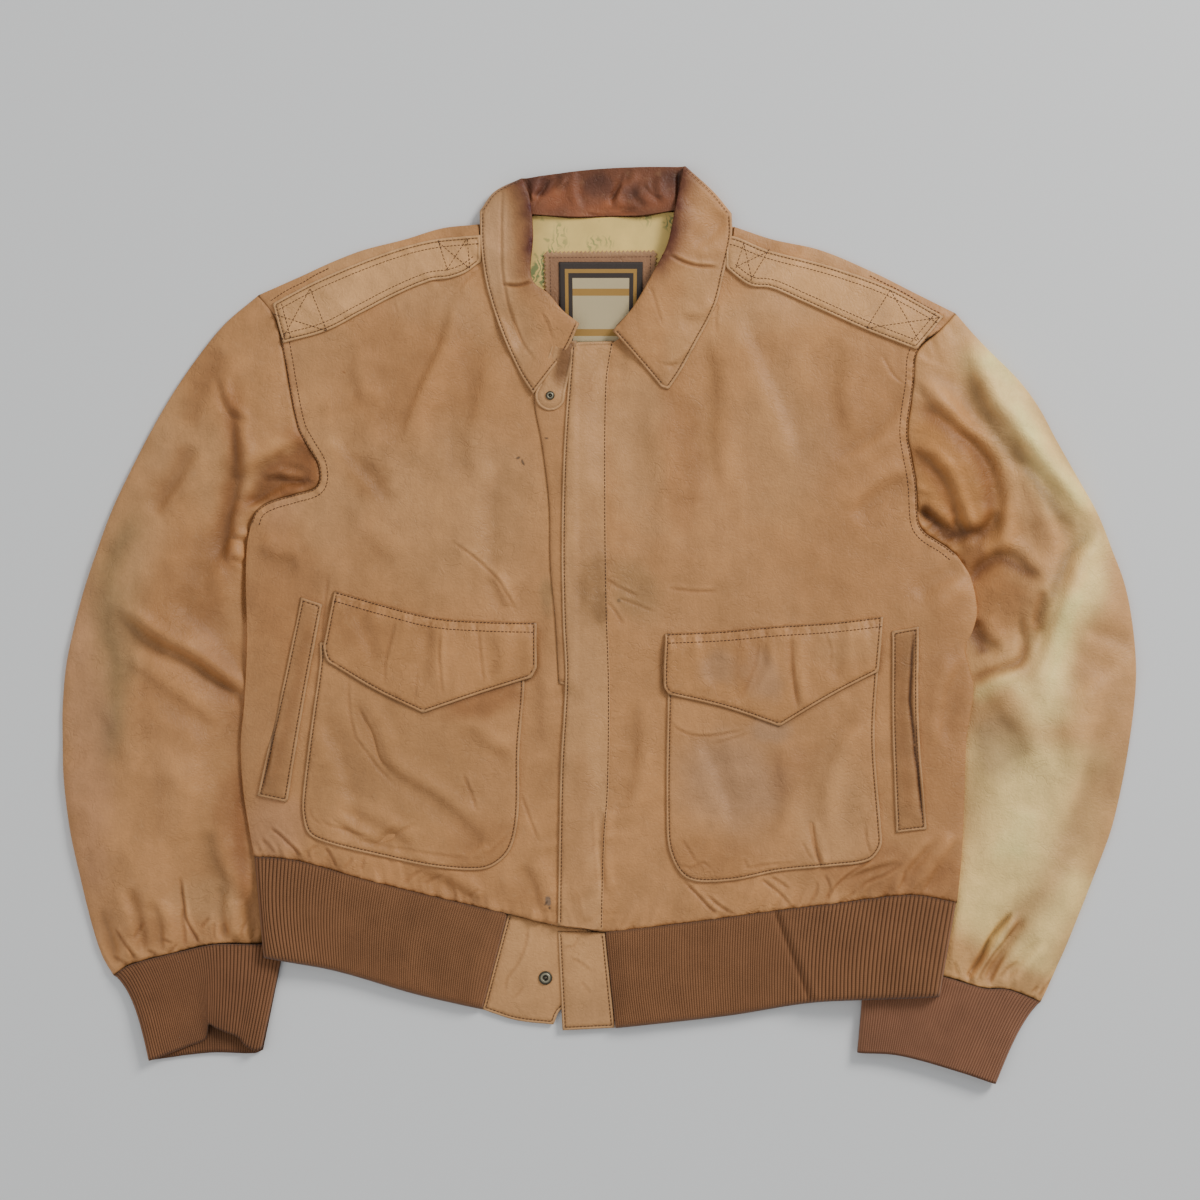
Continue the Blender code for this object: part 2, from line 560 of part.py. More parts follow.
def runs_between(*parts):
    """Runs from (name, line, margin) triples, each line turned so that it starts where the last ended."""
    result = []
    for name, line, margin in parts:
        line = list(line)
        if result:
            end = result[-1][1][-1]
            if np.hypot(line[-1][0] - end[0], line[-1][1] - end[1]) < 0.01:
                line = line[::-1]
        elif np.hypot(*np.subtract(line[0], parts[1][1][0])) < 0.01 or (
                np.hypot(*np.subtract(line[0], parts[1][1][-1])) < 0.01):
            line = line[::-1]
        result.append((name, line, margin))
    return result


def sheath(name, slot, low, high, wall, folded):
    """A tube of cloth pressed flat: lower and upper sheet joined along their folded edges."""
    solid = Solid(name, slot)
    low_at, high_at = solid.sheet(low, folded), solid.sheet(high, folded)
    for run in folded:
        solid.fold(high, high_at, run, low, low_at, run, FOLD_INSET, wall, 2)
    return solid


def sleeves_and_cuffs(drape, behind):
    """The four tubes, whose lower walls share the table with the collar's folded-under part."""
    arm_runs = {
        "right": runs_between(("armhole", ARMHOLE_R, 0.15), ("inner", SLEEVE_IN_R, 0.0),
                              ("seam", CUFF_SEAM_R, 0.15), ("outer", SLEEVE_OUT_R, 0.0)),
        "left": runs_between(("armhole", ARMHOLE_L, 0.15), ("outer", SLEEVE_OUT_L, 0.0),
                             ("seam", CUFF_SEAM_L, 0.15), ("inner", SLEEVE_IN_L, 0.0)),
    }
    cuff_edges = {"right": (CUFF_SEAM_R, CUFF_LEFT_R, CUFF_MOUTH_R, CUFF_NOTCH_R, CUFF_RIGHT_R),
                  "left": (CUFF_SEAM_L, CUFF_INNER_L, CUFF_MOUTH_L, CUFF_MOUTH_L, CUFF_OUTER_L)}
    arm_loft = {"right": sleeve_loft(SLEEVE_OUT_R, SLEEVE_IN_R, ARMHOLE_R, CUFF_SEAM_R),
                "left": sleeve_loft(SLEEVE_OUT_L, SLEEVE_IN_L, ARMHOLE_L, CUFF_SEAM_L)}
    low_arm, high_arm, low_cuff, high_cuff = {}, {}, {}, {}
    for side, (seam, outer, mouth, _, inner) in cuff_edges.items():
        low_arm[side] = Sheet(drape, arm_runs[side], LEATHER)
        low_cuff[side] = Sheet(drape, runs_between(("seam", seam, 0.15), ("a", outer, FOLD_INSET),
                                                   ("mouth", mouth, 0.0), ("b", inner, FOLD_INSET)), RIB)
    lay(drape, [behind, *low_arm.values(), *low_cuff.values()])
    for side, (seam, outer, _, mouth, inner) in cuff_edges.items():
        high_arm[side] = Sheet(drape, arm_runs[side], LEATHER, arm_loft[side])
        high_cuff[side] = Sheet(drape, runs_between(("seam", seam, 0.15), ("a", outer, FOLD_INSET),
                                                    ("mouth", mouth, 0.0), ("b", inner, FOLD_INSET)), RIB,
                                cuff_loft((outer, inner), CUFF_LOFT))
    lay(drape, [*high_arm.values(), *high_cuff.values()])
    solids = []
    for side, slot in (("right", "leather_tan"), ("left", "leather_cream")):
        for name, sheet in ((side + "_sleeve_under", low_arm[side]), (side + "_sleeve", high_arm[side])):
            solids.append(Solid(name, slot))
            solids[-1].sheet(sheet)
        solids.append(sheath(side + "_cuff", "rib_knit", low_cuff[side], high_cuff[side], RIB, ("a", "b")))
    return solids


def build():
    """Lay every piece from the table up and make the objects."""
    for obj in list(bpy.data.objects):
        bpy.data.objects.remove(obj, do_unlink=True)
    lines = [SHOULDER_R, ARMHOLE_R, SIDE_R, HEM_R, HEM_L, SIDE_L, ARMHOLE_L, SHOULDER_L, SLEEVE_OUT_R,
             SLEEVE_IN_R, CUFF_SEAM_R, SLEEVE_OUT_L, SLEEVE_IN_L, CUFF_SEAM_L]
    lines += [line for _, _, line in FOLDS]
    rings = [(SLEEVE_OUT_R, -13.0), (SLEEVE_OUT_L, -13.0), (SIDE_R, 14.0), (SIDE_L, 14.0)]
    drape = Drape(lines, rings, [(-480, -410), (480, -410), (480, 410), (-480, 410)])
    behind = Sheet(drape, runs_between(("fold_r", FALL_FOLD_R, 0.0), ("roll", FALL_ROLL, 0.0),
                                       ("fold_l", FALL_FOLD_L, 0.0), ("behind", FALL_BEHIND, 0.0)), FALL)
    solids = sleeves_and_cuffs(drape, behind)

    def piece(name, slot, runs, thickness, loft=None):
        sheet = Sheet(drape, runs, thickness, loft)
        solid = Solid(name, slot)
        solid.sheet(sheet)
        solids.append(solid)
        return sheet

    # The body from the table up: back, what shows inside the neck, then the fronts.
    back = piece("back_panel", "leather_tan", runs_between(
        ("shoulder_r", SHOULDER_R, 0.3), ("armhole_r", ARMHOLE_R, 0.15), ("side_r", SIDE_R, 0.3),
        ("hem_r", HEM_R, 0.15), ("hem_l", HEM_L, 0.15), ("side_l", SIDE_L, 0.3),
        ("armhole_l", ARMHOLE_L, 0.15), ("shoulder_l", SHOULDER_L, 0.3), ("neck", BACK_NECK, 0.15)), LEATHER)
    rib_back = Sheet(drape, runs_between(("hem_r", HEM_R, 0.15), ("hem_l", HEM_L, 0.15),
                                         ("side_l", RIB_SIDE_L, FOLD_INSET), ("bottom", RIB_BOTTOM_BACK, 0.0),
                                         ("side_r", RIB_SIDE_R, FOLD_INSET)), RIB)
    lay(drape, [back, rib_back])
    lay(drape, [piece("neck_lining", "lining_cloth", closed(NECK_LINING, 0.3), LINING)])
    lay(drape, [piece("neck_patch", "patch_leather", closed(NECK_PATCH), TRIM)])
    lay(drape, [piece("neck_label", "label_cloth", closed(NECK_LABEL), 0.8)])

    hem_end_r, hem_end_l = HEM_R[-1], HEM_L[0]
    fronts = [
        piece("right_yoke_strip", "leather_tan", runs_between(
            ("shoulder", SHOULDER_R, 0.3), ("end", [(-280, 271), (-266, 253), (-264, 248)], 0.15),
            ("seam", FRONT_TOP_R, 0.15), ("neck", [(-98, 309), (-99, 329)], 0.0)), LEATHER, front_loft),
        piece("left_yoke_strip", "leather_tan", runs_between(
            ("shoulder", SHOULDER_L, 0.3), ("neck", [(111, 327), (108, 305)], 0.0),
            ("seam", FRONT_TOP_L, 0.15), ("end", [(268, 234), (280, 242), (293, 256)], 0.15)),
            LEATHER, front_loft),
        piece("right_front", "leather_tan", runs_between(
            ("armhole", [(-264, 248), *ARMHOLE_R[2:]], 0.15), ("side", SIDE_R, 0.3), ("hem", HEM_R, 0.15),
            ("centre", [hem_end_r, FRONT_NECK_R[-1]], 0.15), ("neck", FRONT_NECK_R, 0.0),
            ("seam", FRONT_TOP_R, 0.15)), LEATHER, front_loft),
        piece("left_front", "leather_tan", runs_between(
            ("centre", [FRONT_NECK_L[0], hem_end_l], 0.15), ("hem", HEM_L, 0.15), ("side", SIDE_L, 0.3),
            ("armhole", [*ARMHOLE_L[:-2], (268, 234)], 0.15), ("seam", FRONT_TOP_L, 0.15),
            ("neck", FRONT_NECK_L, 0.0)), LEATHER, front_loft),
    ]
    rib_right = Sheet(drape, runs_between(
        ("side_r", RIB_SIDE_R, FOLD_INSET), ("hem", HEM_R[:5], 0.15), ("end", [(-75, -237), (-96, -316)], 0.15),
        ("bottom", RIB_BOTTOM_R, 0.0)), RIB, front_loft)
    rib_left = Sheet(drape, runs_between(
        ("hem", HEM_L[1:], 0.15), ("side_l", RIB_SIDE_L, FOLD_INSET), ("bottom", RIB_BOTTOM_L, 0.0),
        ("end", [(14, -331), (5, -252)], 0.15)), RIB, front_loft)
    tab_r = piece("right_waist_tab", "leather_tan", closed(TAB_R, 0.15), LEATHER)
    waist = Solid("waist_rib", "rib_knit")
    back_at = waist.sheet(rib_back, ("side_l", "side_r"))
    for sheet, run in ((rib_right, "side_r"), (rib_left, "side_l")):
        waist.fold(sheet, waist.sheet(sheet, (run,)), run, rib_back, back_at, run, FOLD_INSET, RIB, 2)
    solids.append(waist)
    lay(drape, [*fronts, rib_right, rib_left, tab_r])

    lay(drape, [
        piece("right_shoulder_strap", "leather_tan", closed(STRAP_R), TRIM),
        piece("left_shoulder_strap", "leather_tan", closed(STRAP_L), TRIM),
        piece("right_pocket", "leather_tan", closed(POCKET_R), TRIM),
        piece("left_pocket", "leather_tan", closed(POCKET_L), TRIM),
        piece("right_welt", "leather_tan", closed(WELT_R), TRIM),
        piece("left_welt", "leather_tan", closed(WELT_L), TRIM),
        piece("under_fly", "leather_tan", closed(UNDER_FLY), TRIM),
    ])
    lay(drape, [
        piece("right_flap", "leather_tan", closed(FLAP_R), TRIM),
        piece("left_flap", "leather_tan", closed(FLAP_L), TRIM),
        piece("placket", "leather_tan", closed(PLACKET), LEATHER),
        piece("left_waist_tab", "leather_tan", closed(TAB_L), LEATHER),
    ])
    tab_arc = [p for p in disc(NECK_TAB_CENTRE, NECK_TAB_RADIUS, 24) if p[1] < NECK_TAB_CENTRE[1] + 9]
    tab_arc = sorted(tab_arc, key=lambda p: np.arctan2(p[0] - NECK_TAB_CENTRE[0], NECK_TAB_CENTRE[1] - p[1]))
    root_x, root_y = NECK_TAB_ROOT
    neck_tab = piece("neck_tab", "leather_tan", closed(tab_arc + [(root_x + 8, root_y), (root_x - 12, root_y)]),
                     LEATHER)
    lay(drape, [neck_tab, piece("collar_stand", "leather_dark", closed(STAND), TRIM)])

    leaf_r = Sheet(drape, runs_between(("roll", LEAF_ROLL_R, 0.0), ("edge", LEAF_EDGE_R, 0.0),
                                       ("fold", FALL_FOLD_R, 0.0)), FALL)
    leaf_l = Sheet(drape, runs_between(("fold", FALL_FOLD_L, 0.0), ("edge", LEAF_EDGE_L, 0.0),
                                       ("roll", LEAF_ROLL_L, 0.0)), FALL)
    fall = Solid("collar_fall", "leather_tan")
    behind_at = fall.sheet(behind, ("fold_r", "fold_l"))
    for leaf, run in ((leaf_r, "fold_r"), (leaf_l, "fold_l")):
        fall.fold(leaf, fall.sheet(leaf, ("fold",)), "fold", behind, behind_at, run, 2.6, FALL, 4)
    solids.append(fall)

    for (name, centre, radius), seat in zip(SNAPS, (neck_tab, tab_r)):
        tri, weight = drape.weights(np.array(disc(centre, radius, 24)))
        base = np.sum(seat.field[drape.tris[tri]] * weight, axis=1).max() + seat.thickness + SEAM
        solids.append(snap_solid(name, centre, radius, float(base)))

    verts = np.concatenate([np.array(s.verts) for s in solids])
    low, high = verts.min(axis=0), verts.max(axis=0)
    shift = (-(low[0] + high[0]) / 2, -(low[1] + high[1]) / 2, -low[2])
    for solid in solids:
        solid.build(shift)


build()
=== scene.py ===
"""Worn leather bomber jacket, laid flat front-up: the look of every piece over its CAD solid.

Plan tables are in millimetres: x to the viewer's right, y towards the collar. "right" and "left" in
names are the wearer's. Each cloth piece is a thin shell whose height is read from its solid, plus
listed creases, puckers along seams and a gentle unevenness.
"""

import json
import logging
import math
from collections.abc import Callable
from dataclasses import dataclass, field
from enum import Enum

import bpy
import numpy as np
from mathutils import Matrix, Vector
from mathutils.geometry import delaunay_2d_cdt

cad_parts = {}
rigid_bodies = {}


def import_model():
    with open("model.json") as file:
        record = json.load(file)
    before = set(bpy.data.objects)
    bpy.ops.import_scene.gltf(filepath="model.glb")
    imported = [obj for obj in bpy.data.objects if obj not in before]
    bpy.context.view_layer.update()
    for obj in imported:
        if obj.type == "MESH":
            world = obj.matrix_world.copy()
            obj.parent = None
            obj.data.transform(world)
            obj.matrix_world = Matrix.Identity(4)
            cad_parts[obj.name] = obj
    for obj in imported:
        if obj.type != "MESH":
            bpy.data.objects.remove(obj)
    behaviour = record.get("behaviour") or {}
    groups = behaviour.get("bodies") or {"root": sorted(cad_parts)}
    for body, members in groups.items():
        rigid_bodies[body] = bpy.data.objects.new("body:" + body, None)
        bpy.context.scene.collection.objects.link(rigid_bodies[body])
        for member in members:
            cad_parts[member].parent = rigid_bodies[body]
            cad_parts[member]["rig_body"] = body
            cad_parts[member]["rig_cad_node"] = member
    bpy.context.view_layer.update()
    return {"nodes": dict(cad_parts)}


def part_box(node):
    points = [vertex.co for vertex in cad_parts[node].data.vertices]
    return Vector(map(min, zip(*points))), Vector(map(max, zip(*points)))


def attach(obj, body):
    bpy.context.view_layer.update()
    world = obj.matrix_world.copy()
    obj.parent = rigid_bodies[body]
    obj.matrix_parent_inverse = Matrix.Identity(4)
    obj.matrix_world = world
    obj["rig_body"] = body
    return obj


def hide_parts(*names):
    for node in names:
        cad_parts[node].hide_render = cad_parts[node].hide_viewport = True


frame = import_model()
LOG = logging.getLogger("jacket")
MM = 0.001
CUFF_LOW = -377.0  # the lowest y of the tables, at the left cuff
SHIFT_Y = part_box("left_cuff")[0].y / MM - CUFF_LOW  # the frame is centred on its box, the tables aren't
PITCH = 2.5  # spacing of a cloth piece's points, in mm
FAR = 1e9

Point = tuple[float, float]
Line = list[Point]
Surface = Callable[[np.ndarray], np.ndarray]


def path(text: str) -> Line:
    """The points of a line written as "x,y x,y", in mm."""
    return [tuple(float(value) for value in pair.split(",")) for pair in text.split()]


def outline(first: str, *others: str) -> list[Line]:
    """Cut lines that join end to end; each one after the first leaves out the point it starts from."""
    lines = [path(first)]
    for text in others:
        lines.append([lines[-1][-1], *path(text)])
    return lines


# ------------------------------------------------------------------ cut lines, in mm
SHOULDER_R = path("-99,329 -129,326 -159,317 -194,308 -220,298 -244,287 -280,271")
ARMHOLE_R = path("-280,271 -266,253 -260,229 -254,194 -247,162 -239,147 -230,131 -231,114 -250,107 "
                 "-270,101 -281,94 -286,82")
SIDE_R = path("-286,82 -289,66 -290,37 -289,-12 -291,-62 -294,-98 -292,-135 -287,-168 -283,-190")
HEM_R = path("-283,-190 -249,-193 -195,-208 -131,-224 -75,-237 -34,-247 -8,-250")
HEM_L = path("-8,-250 5,-252 50,-247 97,-241 148,-234 198,-228 256,-221 293,-227")
SIDE_L = path("293,-227 297,-185 299,-145 301,-94 304,-74 307,-52 303,-35 300,-18 306,-6 310,11 305,39 "
              "294,57")
ARMHOLE_L = path("294,57 284,65 267,76 262,85 260,117 256,139 253,160 258,198 261,224 280,242 293,256")
SHOULDER_L = path("293,256 261,272 225,290 182,308 142,317 111,327")
BACK_NECK = path("111,327 62,340 35,336 12,336 -22,335 -57,337 -99,329")
YOKE_R = path("-264,248 -229,262 -194,278 -159,293 -127,301 -98,309")
YOKE_L = path("108,305 140,292 180,280 229,260 268,234")
NECK_R = path("-98,309 -78,303 -69,284 -58,268 -44,252 -28,238 -20,228 -8,226")
NECK_L = path("-8,226 6,229 18,236 36,250 52,268 66,288 78,303 108,305")
SLEEVE_OUT_R = path("-399,-288 -408,-273 -417,-246 -427,-205 -435,-168 -440,-127 -441,-94 -441,-66 "
                    "-438,-33 -432,-4 -424,27 -413,60 -401,93 -386,125 -368,160 -348,194 -327,224 "
                    "-307,248 -280,271")
SLEEVE_IN_R = path("-286,82 -276,53 -270,-20 -266,-102 -262,-184 -258,-260")
CUFF_SEAM_R = path("-258,-260 -278,-262 -315,-262 -344,-268 -385,-279 -399,-288")
SLEEVE_OUT_L = path("293,256 316,230 344,202 362,178 376,152 394,120 411,89 422,61 432,34 438,4 441,-25 "
                    "441,-53 437,-90 430,-131 421,-168 409,-201 396,-234 380,-273 363,-310")
SLEEVE_IN_L = path("219,-272 234,-209 251,-144 267,-62 280,20 294,57")
CUFF_SEAM_L = path("363,-310 335,-299 316,-298 285,-289 219,-272")
STRAP_R = outline("-97,298 -97,320", "-132,317 -159,311 -194,299 -234,282 -268,264", "-259,231",
                  "-223,241 -194,256 -167,270 -138,282 -123,284 -109,289 -97,298")
STRAP_L = outline("104,319 111,319 139,308 189,295 239,277 283,253", "260,225.5",
                  "218,242 171,263 141,276 124,278 106,291 104,294", "104,319")
PLACKET = outline("-17,232 -23,230", "-29,149 -31,66 -30,4 -28,-43 -32,-120 -34,-246", "3,-250.5",
                  "5,-177 8,-135 9,-52 7,16 6,99 7,199 12,233", "-17,232")
UNDER_FLY = outline("-46,222 -50,205 -53,183 -47,149 -41,99 -40,49 -36,4 -33,-48", "-18,-52", "-18,222",
                    "-46,222")
FLAP_R = outline("-217,28 -175,16 -134,6 -92,3 -51,2", "-51,-35", "-55,-43", "-100,-57 -144,-72",
                 "-182,-54 -216,-34", "-223,-29 -226,-18", "-217,28")
POCKET_R = outline("-229,-14 -64,-22",
                   "-61,-48 -65,-102 -66,-156 -72,-183 -84,-196 -99,-201 -138,-198 -186,-188 -225,-178 "
                   "-238,-171 -243,-156 -243,-140 -236,-82 -229,-30 -229,-14")
WELT_R = [path("-244.5,23 -226.5,17"),
          path("-226.5,17 -240,-55 -255,-145"),
          path("-256,-145 -280,-140"),
          path("-280,-140 -262,-62 -244,23")]
FLAP_L = outline("54,-7 100,-5 144,-1 190,2 233,7", "229,-38", "190,-58 148,-83", "104,-68 57,-57",
                 "53,-50 54,-7")
POCKET_L = outline("57,-40 56,-60 55,-156 58,-187 72,-208 106,-210 148,-202 189,-198 221,-193 231,-181 "
                   "231,-166 226,-94 229,-34", "57,-40")
WELT_L = outline("240,-5 262,-1", "262,-82 268,-167", "243,-170", "240,-84 240,-5")
TAB_R = outline("-75,-237.3 -34,-247.3 -6,-250.5", "-8,-308", "-31,-316 -37.5,-328.5", "-68,-325 -96,-316",
                "-75,-237.3")
TAB_L = outline("-34,-251.5 5,-252.6", "13,-331", "-30,-333", "-34,-251.5")
NECK_TAB = outline("-25.5,200 -27.6,190 -28.6,182.6 -33.5,177.4 -40,175.5 -46.5,177.4 -51.4,182.6 "
                   "-52.4,190 -49,197", "-38,233", "-18,233", "-25.5,200")
LEAF_R = outline("-62.5,364.6 -57,351 -54,321 -56,290 -53,280 -42,272 -30,258 -16,247",
                 "-26,226 -40,207 -54,189", "-65,206 -80,239 -92,276 -97,307 -98,340", "-86,356 -64,367",
                 "-62.5,364.6")
LEAF_L = outline("11,241 26,258 35,272 47,294 56,312 62,340 69.2,375", "71,377", "94,356 109,338",
                 "109,318 103,290 96,262 80,231 66,206 57,193", "51,195", "35,214 11,241")
BEHIND = outline("109,338 98,320 60,309 5,305 -50,307 -88,318 -98,340", "-86,356 -64,367",
                 "-38,370 -5,374 35,376 71,377", "94,356 109,338")
STAND = outline("-63,366 -38,370 -5,374 35,376 70,376", "80,350 72,312 50,270 24,240", "14,245",
                "26,258 35,272 47,294 56,312 62,340", "35,336 12,336 -22,335 -57,337",
                "-54,321 -56,290 -53,280 -42,272 -30,258 -19,247", "-27,238",
                "-44,256 -70,290 -74,340 -63,366")
LINING = outline("-84,328 -57,336 -22,334 12,335 35,335 62,339 92,328", "88,296 70,268 46,238 20,214",
                 "-24,212", "-52,240 -74,268 -84,296 -84,328")
PATCH = outline("-44,305 46,306", "44,226", "-42,226", "-44,305")
LABEL = outline("-33,298 36,298", "35,232", "-32,232", "-33,298")
RIB_BOTTOM_R = path("-275,-273 -262,-275.5 -217,-284 -152,-303 -96,-316")
RIB_BOTTOM_L = path("13.4,-331.4 106,-321 176,-310 233,-307 264,-305.8 279,-305")
RIB_BOTTOM_BACK = path("-275,-273 -262,-275.5 -217,-282 -152,-300 -96,-312 -54,-320 -42,-296 -18,-296 "
                       "-6,-324 12,-326 106,-317 176,-307 233,-304 264,-305.8 279,-305")
RIB_SIDE_L = path("293,-227 279,-305")
CUFF_MOUTH_R = path("-276,-349 -283,-352 -316,-351.5 -338,-353.5 -352,-355.5 -370,-358")
CUFF_NOTCH_R = path("-277,-347.5 -282,-349.5 -291,-345 -296,-338.5 -307,-334 -315,-330.5 -320,-327.5 "
                    "-321.5,-334 -324,-341 -337,-346 -353,-352 -370,-358")
CUFF_MOUTH_L = path("326,-377 297,-367 246,-353 212,-351")
# small dark marks, and a close pattern of points that lets them show
SPECKS = path("-66.5,137 -62.5,133.5 -43.9,152.9 16.2,20.1 -41,27 -41.2,-226.4 -40.6,-232 -209.2,207.3")
SPOT = np.array([(0.55 * (i + 0.5 * (j % 2)), 0.48 * j) for i in range(-6, 7) for j in range(-7, 8)])
# where points lie twice as close: each line, and how far from it
GATHERED = ((HEM_R, 26), (HEM_L, 26), (CUFF_SEAM_R, 26), (CUFF_SEAM_L, 26), (ARMHOLE_R, 9), (ARMHOLE_L, 9),
            (FLAP_R[0], 11), (FLAP_L[0], 11))


# ------------------------------------------------------------------ plan geometry
def curve(points: Line, step: float) -> np.ndarray:
    """Smooth open line through the points.

    Centripetal Catmull-Rom: each span is a cubic Hermite with tangents (p[i+1] - p[i-1]) / 2 scaled by
    the span's share of chord length.

    Args:
        points: Table points, in mm.
        step: Largest spacing of the result, in mm.
    Returns:
        Points as an (n, 2) array, ends included.
    """
    p = np.asarray(points, float)
    if len(p) == 2:
        count = max(1, math.ceil(np.linalg.norm(p[1] - p[0]) / step))
        return p[0] + np.linspace(0, 1, count + 1)[:, None] * (p[1] - p[0])
    span = np.linalg.norm(np.diff(p, axis=0), axis=1)
    tangent = np.empty_like(p)
    inner = (p[2:] - p[:-2]) / (span[1:] + span[:-1])[:, None]
    tangent[1:-1] = inner
    tangent[0] = (p[1] - p[0]) / span[0]
    tangent[-1] = (p[-1] - p[-2]) / span[-1]
    result = [p[:1]]
    for k, length in enumerate(span):
        count = max(1, math.ceil(length / step))
        t = (np.arange(1, count + 1) / count)[:, None]
        h00, h10 = 2 * t**3 - 3 * t**2 + 1, t**3 - 2 * t**2 + t
        h01, h11 = -2 * t**3 + 3 * t**2, t**3 - t**2
        result.append(h00 * p[k] + h10 * length * tangent[k] + h01 * p[k + 1]
                      + h11 * length * tangent[k + 1])
    return np.concatenate(result)


def length_of(line: np.ndarray) -> float:
    """Length of a polyline."""
    return float(np.linalg.norm(np.diff(line, axis=0), axis=1).sum())


def marks_of(line: np.ndarray) -> np.ndarray:
    """How far along a polyline each of its points lies."""
    return np.concatenate([[0], np.cumsum(np.linalg.norm(np.diff(line, axis=0), axis=1))])


def places(at: np.ndarray, line: np.ndarray) -> np.ndarray:
    """Points of a polyline at lengths along it."""
    marks = marks_of(line)
    return np.stack([np.interp(at, marks, line[:, k]) for k in (0, 1)], 1)


def turn_of(loop: np.ndarray) -> float:
    """Twice the area inside a closed loop, positive where it runs anticlockwise."""
    return float(np.sum(loop[:, 0] * np.roll(loop[:, 1], -1) - np.roll(loop[:, 0], -1) * loop[:, 1]))


def along(xy: np.ndarray, line: np.ndarray) -> tuple[np.ndarray, np.ndarray]:
    """Arc length to the nearest point of a polyline, and signed distance (positive on its left)."""
    best = np.full(len(xy), FAR)
    where = np.zeros(len(xy))
    side = np.ones(len(xy))
    start = 0.0
    for a, b in zip(line[:-1], line[1:]):
        d = b - a
        length = float(np.hypot(*d))
        if length < 1e-9:
            continue
        rel = xy - a
        t = np.clip(rel @ d / length**2, 0, 1)
        off = rel - t[:, None] * d
        dist = np.hypot(off[:, 0], off[:, 1])
        near = dist < best
        best[near] = dist[near]
        where[near] = start + t[near] * length
        side[near] = np.where(d[0] * rel[near, 1] - d[1] * rel[near, 0] >= 0, 1.0, -1.0)
        start += length
    return where, best * side


def around(xy: np.ndarray, line: np.ndarray, reach: float) -> np.ndarray:
    """Which points lie in the line's bounding box widened by `reach` mm."""
    return np.all((xy > line.min(0) - reach) & (xy < line.max(0) + reach), axis=1)


def smooth(t: np.ndarray) -> np.ndarray:
    """Smoothstep, 3t^2 - 2t^3 on t held to 0..1."""
    t = np.clip(t, 0.0, 1.0)
    return t * t * (3 - 2 * t)


def arch(t: np.ndarray) -> np.ndarray:
    """Quarter ellipse from 0 at t = 0 to 1 at t = 1, sqrt(1 - (1 - t)^2)."""
    t = np.clip(t, 0.0, 1.0)
    return np.sqrt(np.maximum(1 - (1 - t) ** 2, 0.0))


def inside(xy: np.ndarray, ring: np.ndarray) -> np.ndarray:
    """Even-odd test of points against a closed ring."""
    result = np.zeros(len(xy), bool)
    for (ax, ay), (bx, by) in zip(ring, np.roll(ring, -1, axis=0)):
        if ay != by:
            crosses = (ay > xy[:, 1]) != (by > xy[:, 1])
            result ^= crosses & (xy[:, 0] < (bx - ax) * (xy[:, 1] - ay) / (by - ay) + ax)
    return result


def lattice_value(ix: np.ndarray, iy: np.ndarray, seed: int) -> np.ndarray:
    """Repeatable pseudo-random value in 0..1 at whole-number coordinates."""
    across, up, deep, stir, keep = 374761393, 668265263, 974711, 1274126177, 0x7FFFFFFF
    n = (ix * across + iy * up + seed * deep) & keep
    n = ((n ^ (n >> 13)) * stir) & keep
    return ((n ^ (n >> 16)) & 0xFFFF) / 65535.0


def noise(xy: np.ndarray, scale: float, seed: int, octaves: int = 1) -> np.ndarray:
    """Value noise in -1..1 at wavelength `scale` mm, halving in size and strength per octave."""
    total, norm, gain = np.zeros(len(xy)), 0.0, 1.0
    for k in range(octaves):
        q = xy / scale * 2.0**k
        cell = np.floor(q).astype(np.int64)
        f = smooth(q - cell)
        v = [lattice_value(cell[:, 0] + i, cell[:, 1] + j, seed + 31 * k) for j in (0, 1) for i in (0, 1)]
        low = v[0] + (v[1] - v[0]) * f[:, 0]
        high = v[2] + (v[3] - v[2]) * f[:, 0]
        total += gain * (2 * (low + (high - low) * f[:, 1]) - 1)
        norm += gain
        gain *= 0.5
    return total / norm


